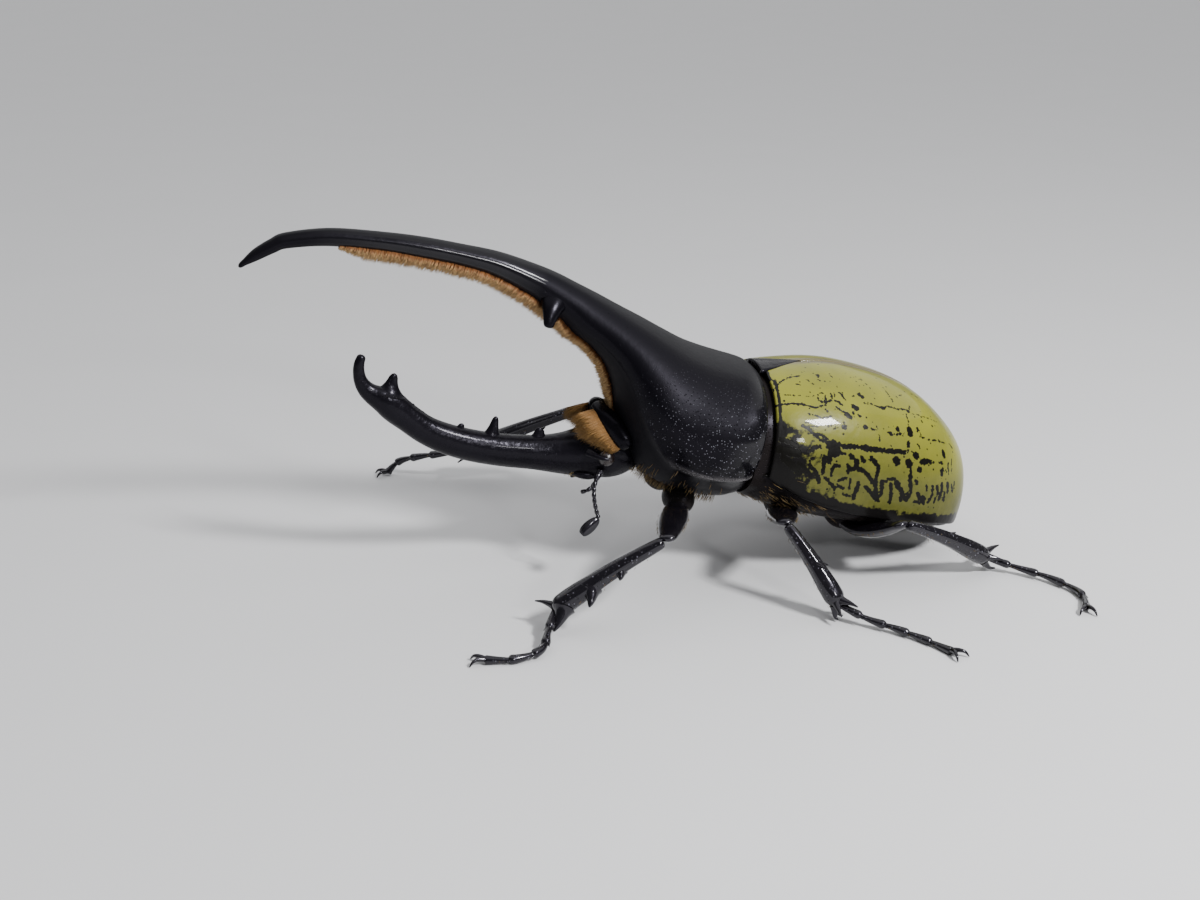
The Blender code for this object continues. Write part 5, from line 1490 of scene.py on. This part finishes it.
def build_shins():
    """Ridged shins with their teeth and spines."""
    for name, leg in LEGS.items():
        knee = Vector(leg["knee"])
        ankle = Vector(leg["ankle"])
        path = []
        for k in range(9):
            point = knee.lerp(ankle, SHIN_STARTS_AT + (1.0 - SHIN_STARTS_AT) * k / 8.0)
            point.z += SHIN_BOW * math.sin(math.pi * k / 8.0)
            path.append(point)
        size = leg_size(leg, "shin")

        def reach(share, turn):
            plain = size * smooth_number(SHIN_RADII, share * (len(SHIN_RADII) - 1))
            ridges = 0.05 * math.cos(turn * 6.0) * math.sin(math.pi * min(share * 1.2, 1.0))
            return plain * (0.97 + ridges)

        parts = [swept(path, reach, 48, 90, paint={"pitting_and_glints": lambda i, k: 1.0})]
        for spine in SHIN_SPINES[leg["kind"]]:
            radius = spine[-1]
            radii = (radius * 1.75, radius * 1.15, radius * 0.74, radius * 0.42, 0.13)
            parts.append(cone(spine_points(leg, *spine), radii, sides=16, steps=18))
        settle(f"shin_{name}", parts, "leg", (f"tibia_{name}",))


def foot_points(leg, count):
    """World points along a foot, from the ankle to the last joint's end."""
    points = [leg["ankle"], *leg["foot"]]
    last = len(points) - 1
    return [Vector(smooth(points, last * k / count)) for k in range(count + 1)]


def claw_points(leg, turn):
    """World points along one of the two hooked claws of a foot."""
    path = foot_points(leg, 9)
    end = path[-1]
    ahead = path[-1] - path[-3]
    ahead.z = 0.0
    ahead.normalize()
    out = Matrix.Rotation(turn, 3, "Z") @ ahead
    arch = Vector((0.0, 0.0, CLAW_LENGTH * 0.22))
    return [
        end - ahead * CLAW_RADIUS * 2.0,
        end + out * CLAW_LENGTH * 0.35 + arch * 0.7,
        end + out * CLAW_LENGTH * 0.75 + arch * 0.4,
        end + out * CLAW_LENGTH - Vector((0.0, 0.0, end.z - 0.15)),
    ]


def foot_spurs(path, size):
    """Small spurs on both sides of each of a foot's joints but the last."""
    spurs = []
    for joint in range(1, FOOT_JOINTS):
        at = path[min(joint * 4, 19)]
        ahead = (path[min(joint * 4 + 1, 20)] - at).normalized()
        across = ahead.cross(UP).normalized()
        for turn in (-1.0, 1.0):
            root = at - ahead * 0.4 + across * (turn * size * 0.5)
            spur = root + ahead * 1.1 + across * (turn * 0.45) - Vector((0.0, 0.0, 0.1))
            spur.z = max(spur.z, 0.2)
            points = [root, (root + spur) / 2.0, spur]
            spurs.append(cone(points, (0.22, 0.15, 0.05), sides=8, steps=5))
    return spurs


def foot_pad(path):
    """The small pad between the claws."""
    end = path[-1]
    ahead = end - path[-2]
    ahead.z = 0.0
    ahead.normalize()
    pad = end + ahead * 1.2
    pad.z = max(pad.z * 0.7, 0.35)
    return cone([end, (end + pad) / 2.0, pad], (0.30, 0.26, 0.16), sides=10, steps=6)


def build_feet():
    """Feet of five joints, each widening to its end, with two claws and a small pad."""
    for name, leg in LEGS.items():
        size = leg_size(leg, "foot")
        path = foot_points(leg, 20)

        def reach(share, turn):
            along = share * FOOT_JOINTS
            part = along - math.floor(min(along, FOOT_JOINTS - 0.001))
            swell = 0.50 + 0.52 * part**0.9
            close = rounding(min((1.0 - part) / 0.16, 1.0))
            return size * (0.42 + (swell - 0.42) * close)

        parts = [swept(path, reach, 20, 150, paint={"pitting_and_glints": lambda i, k: 0.5})]
        parts += foot_spurs(path, size)
        radii = [CLAW_RADIUS * share for share in CLAW_TAPER]
        for turn in (CLAW_SPREAD, -CLAW_SPREAD):
            parts.append(cone(claw_points(leg, turn), radii, sides=14, steps=26))
        parts.append(foot_pad(path))
        piece = settle(f"foot_{name}", parts, "leg", (f"tarsus_{name}",))
        for vert in piece.data.vertices:
            vert.co.z = max(vert.co.z, 0.0)


class Coat:
    """Solid tufts of hair gathered into one joined mesh."""

    def __init__(self, seed):
        self.chance = random.Random(seed)
        self.points = []
        self.faces = []
        self.reach = []
        self.shade = []
        self.corners = []

    def tuft(self, path, width, spot, sides=3):
        """A tapered tuft along a path of three or more points; spot is its root on the skin's map."""
        base = len(self.points)
        shade = self.chance.random()
        ahead = (path[-1] - path[0]).normalized()
        across = ahead.orthogonal().normalized()
        other = ahead.cross(across)
        turn = self.chance.uniform(0.0, math.tau)
        last = len(path) - 1
        for i, point in enumerate(path[:-1]):
            share = i / last
            radius = width / 2.0 * (1.0 - 0.55 * share)
            for k in range(sides):
                angle = turn + math.tau * k / sides
                side = across * (math.cos(angle) * radius)
                self.points.append(point + side + other * (math.sin(angle) * radius))
                self.reach.append(share)
                self.shade.append(shade)
        self.points.append(path[-1])
        self.reach.append(1.0)
        self.shade.append(shade)
        patch = TUFT_PATCH
        for i in range(last - 1):
            for k in range(sides):
                j = (k + 1) % sides
                low = base + i * sides
                high = low + sides
                self.faces.append((low + k, low + j, high + j, high + k))
                rise = (i / last, i / last, (i + 1) / last, (i + 1) / last)
                run = (k / sides, (k + 1) / sides, (k + 1) / sides, k / sides)
                self.corners += [(spot[0] + patch * x, spot[1] + patch * y) for x, y in zip(run, rise)]
        top = base + (last - 1) * sides
        for k in range(sides):
            self.faces.append((top + k, top + (k + 1) % sides, base + last * sides))
            rise = ((last - 1) / last, (last - 1) / last, 1.0)
            run = (k / sides, (k + 1) / sides, (k + 0.5) / sides)
            self.corners += [(spot[0] + patch * x, spot[1] + patch * y) for x, y in zip(run, rise)]
        self.faces.append(tuple(base + k for k in reversed(range(sides))))
        self.corners += [(spot[0] + patch * k / sides, spot[1]) for k in reversed(range(sides))]

    def piece(self, name, finish):
        """The whole coat as one piece of the model."""
        data = bpy.data.meshes.new(name)
        data.from_pydata([tuple(TO_FRAME @ point) for point in self.points], [], self.faces)
        chart = data.uv_layers.new(name="OFBake")
        chart.data.foreach_set("uv", [number for corner in self.corners for number in corner])
        for label, numbers in (("reach", self.reach), ("shade", self.shade)):
            layer = data.attributes.new(label, "FLOAT", "POINT")
            layer.data.foreach_set("value", numbers)
        data.polygons.foreach_set("use_smooth", [True] * len(data.polygons))
        data.materials.append(finish_for(finish))
        made = bpy.data.objects.new(name, data)
        bpy.context.scene.collection.objects.link(made)
        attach(made, BODY)


def brush_fade(share):
    """The brush's length at a share of its run; it tapers in at both ends."""
    front = min(1.0, 0.3 + share * 16.0)
    rear = min(1.0, 0.3 + (1.0 - share) * 6.0)
    return min(front, rear) * (1.0 - 0.42 * max(0.0, share * 2.0 - 1.0))


def build_brush(sizes):
    """The dense brush under the upper horn and down the front of the pronotum."""
    coat = Coat(sizes.hair_seed)
    chance = coat.chance
    length = sizes.brush_length / MM
    width = sizes.bristle_width / MM
    inside = [place for place in upper_places(BRUSH_PLACES) if BRUSH_START <= place <= BRUSH_END]
    for _ in range(sizes.brush_bristles):
        place = inside[int(chance.random() * (len(inside) - 1))]
        place += chance.uniform(-0.02, 0.02)
        share = clamp((place - BRUSH_START) / (BRUSH_END - BRUSH_START))
        values = smooth(UPPER_ROWS, place)
        spread = min(values[4] * BRUSH_WIDTH_SHARE, BRUSH_HALF_WIDTH) / values[4]
        side = chance.uniform(-1.0, 1.0) * spread
        turn = math.pi - math.asin(side)
        root = upper_point(place, turn, -0.15)
        middle = Vector(((values[0] + values[2]) / 2.0, 0.0, (values[1] + values[3]) / 2.0))
        down = Vector((values[2] - values[0], 0.0, values[3] - values[1])).normalized()
        along = Vector((-down.z, 0.0, down.x))
        if along.x > 0.0:
            along.negate()
        splay = 0.40 * side / spread
        direction = (down + Vector((0.0, splay, 0.0)) + along * chance.uniform(0.02, 0.42)).normalized()
        ragged = chance.uniform(0.55, 0.85) if chance.random() < 0.72 else chance.uniform(0.85, 1.22)
        tall = length * brush_fade(share) * ragged * math.cos(splay * 0.9)
        tall *= 1.0 + 0.10 * noise.noise(Vector((place * 9.0, side * 3.0, 0.0)))
        stray = Vector((chance.uniform(-0.08, 0.08), chance.uniform(-0.08, 0.08), 0.0))
        bend = along * (0.12 * tall) + stray
        path = [root, root + direction * (tall * 0.55 + 0.1), root + direction * (tall + 0.15) + bend]
        spot = (place / UPPER_LAST, turn / math.tau)
        coat.tuft([in_world(point) for point in path], width, spot)
    coat.piece("horn_brush", "brush")


def drawn_hair(coat, root, away, lie, length, width, spot):
    """One long hair from a root, first away from the skin and then along the lie of the coat."""
    chance = coat.chance
    stray = Vector((chance.uniform(-1, 1), chance.uniform(-1, 1), chance.uniform(-1, 1))) * 0.16
    tall = length * chance.uniform(0.65, 1.1)
    first = (away * 0.55 + lie * 0.45 + stray).normalized()
    second = (away * 0.18 + lie * 0.82 + stray * 1.3).normalized()
    start = root - away * 0.15
    knee = start + first * (tall * 0.35)
    bend = knee + second * (tall * 0.35)
    tip = bend + (second + lie * 0.25 + stray).normalized() * (tall * 0.30)
    coat.tuft([start, knee, bend, tip], width, spot)


def skin_normal(surface, first, second, outward):
    """The outward direction of a surface of two numbers at a place."""
    step = 0.01
    one = surface(first + step, second) - surface(first - step, second)
    two = surface(first, second + step) - surface(first, second - step)
    normal = one.cross(two).normalized()
    return normal if normal.dot(outward) > 0.0 else -normal


def build_neck_fringe(sizes):
    """The ochre fringe that falls from the pronotum's front edge over the head's rear."""
    coat = Coat(sizes.hair_seed + 1)
    chance = coat.chance
    for _ in range(NECK_TUFTS):
        share = chance.uniform(0.27, 1.0)
        side = toss(chance)
        root = neck_edge(share) + Vector((0.9, 0.0, 0.4)) * chance.uniform(0.0, 1.5)
        root += Vector((0.0, 0.5, -0.1)) * chance.uniform(-1.0, 1.0)
        lie = Vector((-0.88 + 0.10 * share, 0.03, -0.38 - 0.16 * share))
        tall = 4.3 + 0.9 * hump(share, 0.60, 0.18) - 2.2 * max(share * 2.2 - 1.2, 0.0)
        tall *= chance.uniform(0.66, 1.12)
        stray = Vector((0.0, chance.uniform(-0.08, 0.08), chance.uniform(-0.09, 0.09)))
        bend = Vector((0.0, 0.0, -0.45 * chance.uniform(0.5, 1.3)))
        path = [root, root + (lie + stray) * (tall * 0.5), root + (lie + stray * 1.8) * tall + bend]
        path = [in_world(point) * Vector((1.0, side, 1.0)) for point in path]
        coat.tuft(path, NECK_TUFT_WIDTH, (0.6 + 0.1 * share, 0.5 + 0.3 * side * share))
    coat.piece("neck_fringe", "ochre")


def upper_skin(place, turn):
    """A world point on the upper horn and pronotum."""
    return in_world(upper_point(place, turn))


def rear_skin(place, turn):
    """A world point on the trunk under the wing cases."""
    return in_world(case_point(place, turn, 1.2))


def add_underside_hair(coat, width):
    """Long hair under the pronotum."""
    chance = coat.chance
    lie = Vector((-0.5, 0.0, -0.8)).normalized()
    for _ in range(UNDERSIDE_HAIRS):
        place = chance.uniform(17.7, 20.0)
        turn = math.pi + chance.gauss(0.0, 0.36)
        root = upper_skin(place, turn)
        away = skin_normal(upper_skin, place, turn, root - in_world((-12.0, 0.0, 2.0)))
        drawn_hair(coat, root, away, lie, 1.9, width, (place / UPPER_LAST, turn / math.tau % 1.0))


def add_case_hair(coat, width):
    """Hair on the chest along the wing cases' lower edges."""
    chance = coat.chance
    for count, places, turns, lean, length, thick in CASE_HAIRS:
        for _ in range(count):
            place = chance.uniform(*places)
            turn = chance.uniform(*turns)
            side = toss(chance)
            flip = Vector((1.0, side, 1.0))
            root = rear_skin(place, turn)
            away = skin_normal(rear_skin, place, turn, root - in_world((20.0, 0.0, 0.0)))
            lie = (Vector(lean) * flip).normalized()
            spot = (place / CASE_LAST, 0.5 + side * turn / math.tau)
            drawn_hair(coat, root * flip, away * flip, lie, length, width * thick, spot)


def add_thigh_hair(coat, width, leg):
    """Short hair along both edges of a thigh."""
    chance = coat.chance
    path = thigh_path(leg)
    last = len(THIGH_RADII) - 1
    along = (path[-1] - path[0]).normalized()
    side = along.cross(UP).normalized()
    lie = (along - UP * 0.6).normalized()
    for _ in range(THIGH_HAIRS):
        share = chance.uniform(0.15, 0.8)
        edge = toss(chance)
        reach = leg_size(leg, "thigh") * smooth_number(THIGH_RADII, share * last)
        root = Vector(smooth(path, share * last)) + side * (edge * reach * 0.93)
        root += Vector((0.0, 0.0, chance.uniform(-0.3, 0.3)))
        drawn_hair(coat, root, side * edge, lie, 1.2, width * 0.7, (share, 0.5 + 0.3 * edge))


def build_body_hair(sizes):
    """Long golden hair under the pronotum and chest, round the hips and along the thighs."""
    coat = Coat(sizes.hair_seed + 2)
    width = sizes.hair_width / MM
    add_underside_hair(coat, width)
    add_case_hair(coat, width)
    for leg in LEGS.values():
        add_thigh_hair(coat, width, leg)
    coat.piece("body_hair", "gold")


def build_leg_hair(sizes):
    """Short stiff bristles on the shins and under the feet."""
    coat = Coat(sizes.hair_seed + 3)
    chance = coat.chance
    width = sizes.hair_width / MM
    for leg in LEGS.values():
        knee = Vector(leg["knee"])
        ankle = Vector(leg["ankle"])
        ahead = (ankle - knee).normalized()
        across = ahead.orthogonal().normalized()
        size = leg_size(leg, "shin")
        for _ in range(SHIN_HAIRS):
            share = chance.uniform(0.12, 0.96)
            turn = chance.uniform(0.0, math.tau)
            away = Matrix.Rotation(turn, 3, ahead) @ across
            reach = size * smooth_number(SHIN_RADII, share * (len(SHIN_RADII) - 1)) * 0.97
            root = knee.lerp(ankle, share) + away * reach
            drawn_hair(coat, root, away, ahead, 0.9, width * 0.6, (share, turn / math.tau))
        foot = foot_points(leg, 40)
        for _ in range(FOOT_HAIRS):
            index = int(chance.uniform(2, 39))
            ahead = (foot[index + 1] - foot[index]).normalized()
            side = ahead.cross(UP).normalized()
            turn = toss(chance)
            root = foot[index] + side * (turn * leg_size(leg, "foot") * 0.5)
            root.z = max(root.z, 0.35)
            drawn_hair(coat, root, side * turn, ahead, 0.7, width * 0.6, (index / 40.0, 0.5 + 0.3 * turn))
    for point in coat.points:
        point.z = max(point.z, 0.03)
    coat.piece("leg_bristles", "gold")


def build_mouth_hair(sizes):
    """Golden bristles round the mouth."""
    coat = Coat(sizes.hair_seed + 4)
    chance = coat.chance
    for _ in range(MOUTH_HAIRS):
        turn = chance.uniform(-math.pi, math.pi)
        u = FACE_CENTRE[0] + FACE_RADII[0] * 0.82 * math.cos(turn)
        v = FACE_RADII[1] * 0.82 * math.sin(turn)
        root = in_world((u, v, FACE_CENTRE[2] - FACE_RADII[2] * chance.uniform(0.35, 0.75)))
        away = (BODY_TURN @ Vector((math.cos(turn) * 0.5, math.sin(turn) * 0.6, -0.6))).normalized()
        lie = BODY_TURN @ Vector((-0.6, 0.0, -0.8))
        drawn_hair(coat, root, away, lie, 1.5, sizes.hair_width / MM, (0.5 + turn / math.tau, 0.3))
    coat.piece("mouth_bristles", "gold")


class BEETLE_OT_upper_horn(bpy.types.Operator):
    """Make the upper horn and pronotum with their side teeth."""

    bl_idname = "beetle.upper_horn"
    bl_label = "Upper horn and pronotum"

    def execute(self, context):
        build_upper(context.scene.beetle_sizes)
        return {"FINISHED"}


class BEETLE_OT_head(bpy.types.Operator):
    """Make the head and the lower horn with its teeth."""

    bl_idname = "beetle.head"
    bl_label = "Head and lower horn"

    def execute(self, context):
        build_head()
        return {"FINISHED"}


class BEETLE_OT_face_parts(bpy.types.Operator):
    """Make the eyes, antennae, jaws and palps."""

    bl_idname = "beetle.face_parts"
    bl_label = "Eyes, antennae and mouth"

    def execute(self, context):
        build_eyes()
        build_antennae()
        build_mouth()
        return {"FINISHED"}


class BEETLE_OT_wing_cases(bpy.types.Operator):
    """Make both wing cases and the small shield between them."""

    bl_idname = "beetle.wing_cases"
    bl_label = "Wing cases and shield"

    def execute(self, context):
        for side in SIDES:
            build_case(side)
        build_shield()
        return {"FINISHED"}


class BEETLE_OT_trunk(bpy.types.Operator):
    """Make the trunk under the wing cases."""

    bl_idname = "beetle.trunk"
    bl_label = "Trunk"

    def execute(self, context):
        build_trunk()
        return {"FINISHED"}


class BEETLE_OT_legs(bpy.types.Operator):
    """Make hips, thighs, shins and feet."""

    bl_idname = "beetle.legs"
    bl_label = "Legs"

    def execute(self, context):
        build_thighs()
        build_shins()
        build_feet()
        return {"FINISHED"}


class BEETLE_OT_brush(bpy.types.Operator):
    """Make the golden brush under the upper horn."""

    bl_idname = "beetle.brush"
    bl_label = "Brush"

    def execute(self, context):
        build_brush(context.scene.beetle_sizes)
        return {"FINISHED"}


class BEETLE_OT_hair(bpy.types.Operator):
    """Make the neck fringe and the sparse hair of body, mouth and legs."""

    bl_idname = "beetle.hair"
    bl_label = "Fringe and hair"

    def execute(self, context):
        sizes = context.scene.beetle_sizes
        build_neck_fringe(sizes)
        build_body_hair(sizes)
        build_leg_hair(sizes)
        build_mouth_hair(sizes)
        return {"FINISHED"}


def soft_light(name, place, target, size, watts):
    """A rectangular studio light that looks at a target; lengths in metres."""
    data = bpy.data.lights.new(name, "AREA")
    data.shape = "RECTANGLE"
    data.size, data.size_y = size
    data.energy = watts
    light = bpy.data.objects.new(name, data)
    light.location = place
    light.rotation_euler = (Vector(target) - Vector(place)).to_track_quat("-Z", "Y").to_euler()
    bpy.context.scene.collection.objects.link(light)


def build_floor():
    """The pale floor under the feet."""
    shape = bmesh.new()
    bmesh.ops.create_grid(shape, x_segments=1, y_segments=1, size=FLOOR_REACH)
    data = bpy.data.meshes.new("floor")
    shape.to_mesh(data)
    shape.free()
    data.materials.append(finish_for("floor"))
    floor = bpy.data.objects.new("floor", data)
    bpy.context.scene.collection.objects.link(floor)


def build_lights(strength):
    """A pale backdrop, a broad soft ceiling and the small lamps."""
    world = bpy.data.worlds.new("studio")
    world.use_nodes = True
    backdrop = world.node_tree.nodes["Background"]
    backdrop.inputs["Color"].default_value = BACKDROP_COLOUR
    backdrop.inputs["Strength"].default_value = BACKDROP_POWER * strength
    bpy.context.scene.world = world
    sun = bpy.data.lights.new("ceiling", "SUN")
    sun.energy = CEILING_POWER * strength
    sun.angle = math.radians(CEILING_ANGLE)
    ceiling = bpy.data.objects.new("ceiling", sun)
    ceiling.rotation_euler = [math.radians(turn) for turn in CEILING_TURN]
    bpy.context.scene.collection.objects.link(ceiling)
    for name, place, target, size, watts in LAMPS:
        soft_light(name, place, target, size, watts * strength)


def build_camera(stage):
    """The camera at the photo's angle."""
    data = bpy.data.cameras.new("camera")
    data.lens = stage.lens
    data.sensor_width = SENSOR_WIDTH
    data.clip_start = 0.01
    camera = bpy.data.objects.new("camera", data)
    turn = stage.azimuth
    rise = stage.elevation
    back = Vector((math.sin(turn) * math.cos(rise), -math.cos(turn) * math.cos(rise), math.sin(rise)))
    target = (Vector(CAMERA_TARGET) + OFFSET) * MM
    camera.location = target + back * stage.distance
    camera.rotation_euler = (-back).to_track_quat("-Z", "Y").to_euler()
    bpy.context.scene.collection.objects.link(camera)
    bpy.context.scene.camera = camera


class BEETLE_OT_stage(bpy.types.Operator):
    """Make the floor, the lights and the camera."""

    bl_idname = "beetle.stage"
    bl_label = "Stage"

    def execute(self, context):
        stage = context.scene.beetle_stage
        build_floor()
        build_lights(stage.light)
        build_camera(stage)
        return {"FINISHED"}


OPERATORS = (
    BEETLE_OT_stage,
    BEETLE_OT_upper_horn,
    BEETLE_OT_head,
    BEETLE_OT_face_parts,
    BEETLE_OT_wing_cases,
    BEETLE_OT_trunk,
    BEETLE_OT_legs,
    BEETLE_OT_brush,
    BEETLE_OT_hair,
)


class BEETLE_PT_panel(bpy.types.Panel):
    """Lists the beetle's sizes, colours and pieces."""

    bl_label = "Hercules beetle"
    bl_idname = "BEETLE_PT_panel"
    bl_space_type = "VIEW_3D"
    bl_region_type = "UI"
    bl_category = "Beetle"

    def draw(self, context):
        scene = context.scene
        for group in (scene.beetle_sizes, scene.beetle_colours, scene.beetle_stage):
            box = self.layout.box()
            for name in type(group).__annotations__:
                box.prop(group, name)
        for operator in OPERATORS:
            self.layout.operator(operator.bl_idname)


CLASSES = (BeetleSizes, BeetleColours, BeetleStage, *OPERATORS, BEETLE_PT_panel)


def register():
    for item in CLASSES:
        bpy.utils.register_class(item)
    bpy.types.Scene.beetle_sizes = PointerProperty(type=BeetleSizes)
    bpy.types.Scene.beetle_colours = PointerProperty(type=BeetleColours)
    bpy.types.Scene.beetle_stage = PointerProperty(type=BeetleStage)


def unregister():
    del bpy.types.Scene.beetle_stage
    del bpy.types.Scene.beetle_colours
    del bpy.types.Scene.beetle_sizes
    for item in reversed(CLASSES):
        bpy.utils.unregister_class(item)


def main():
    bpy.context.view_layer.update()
    register()
    for name, leg in LEGS.items():
        leg["kind"] = name.split("_")[0]
    for operator in OPERATORS:
        group, action = operator.bl_idname.split(".")
        getattr(getattr(bpy.ops, group), action)()


if __name__ == "__main__":
    main()
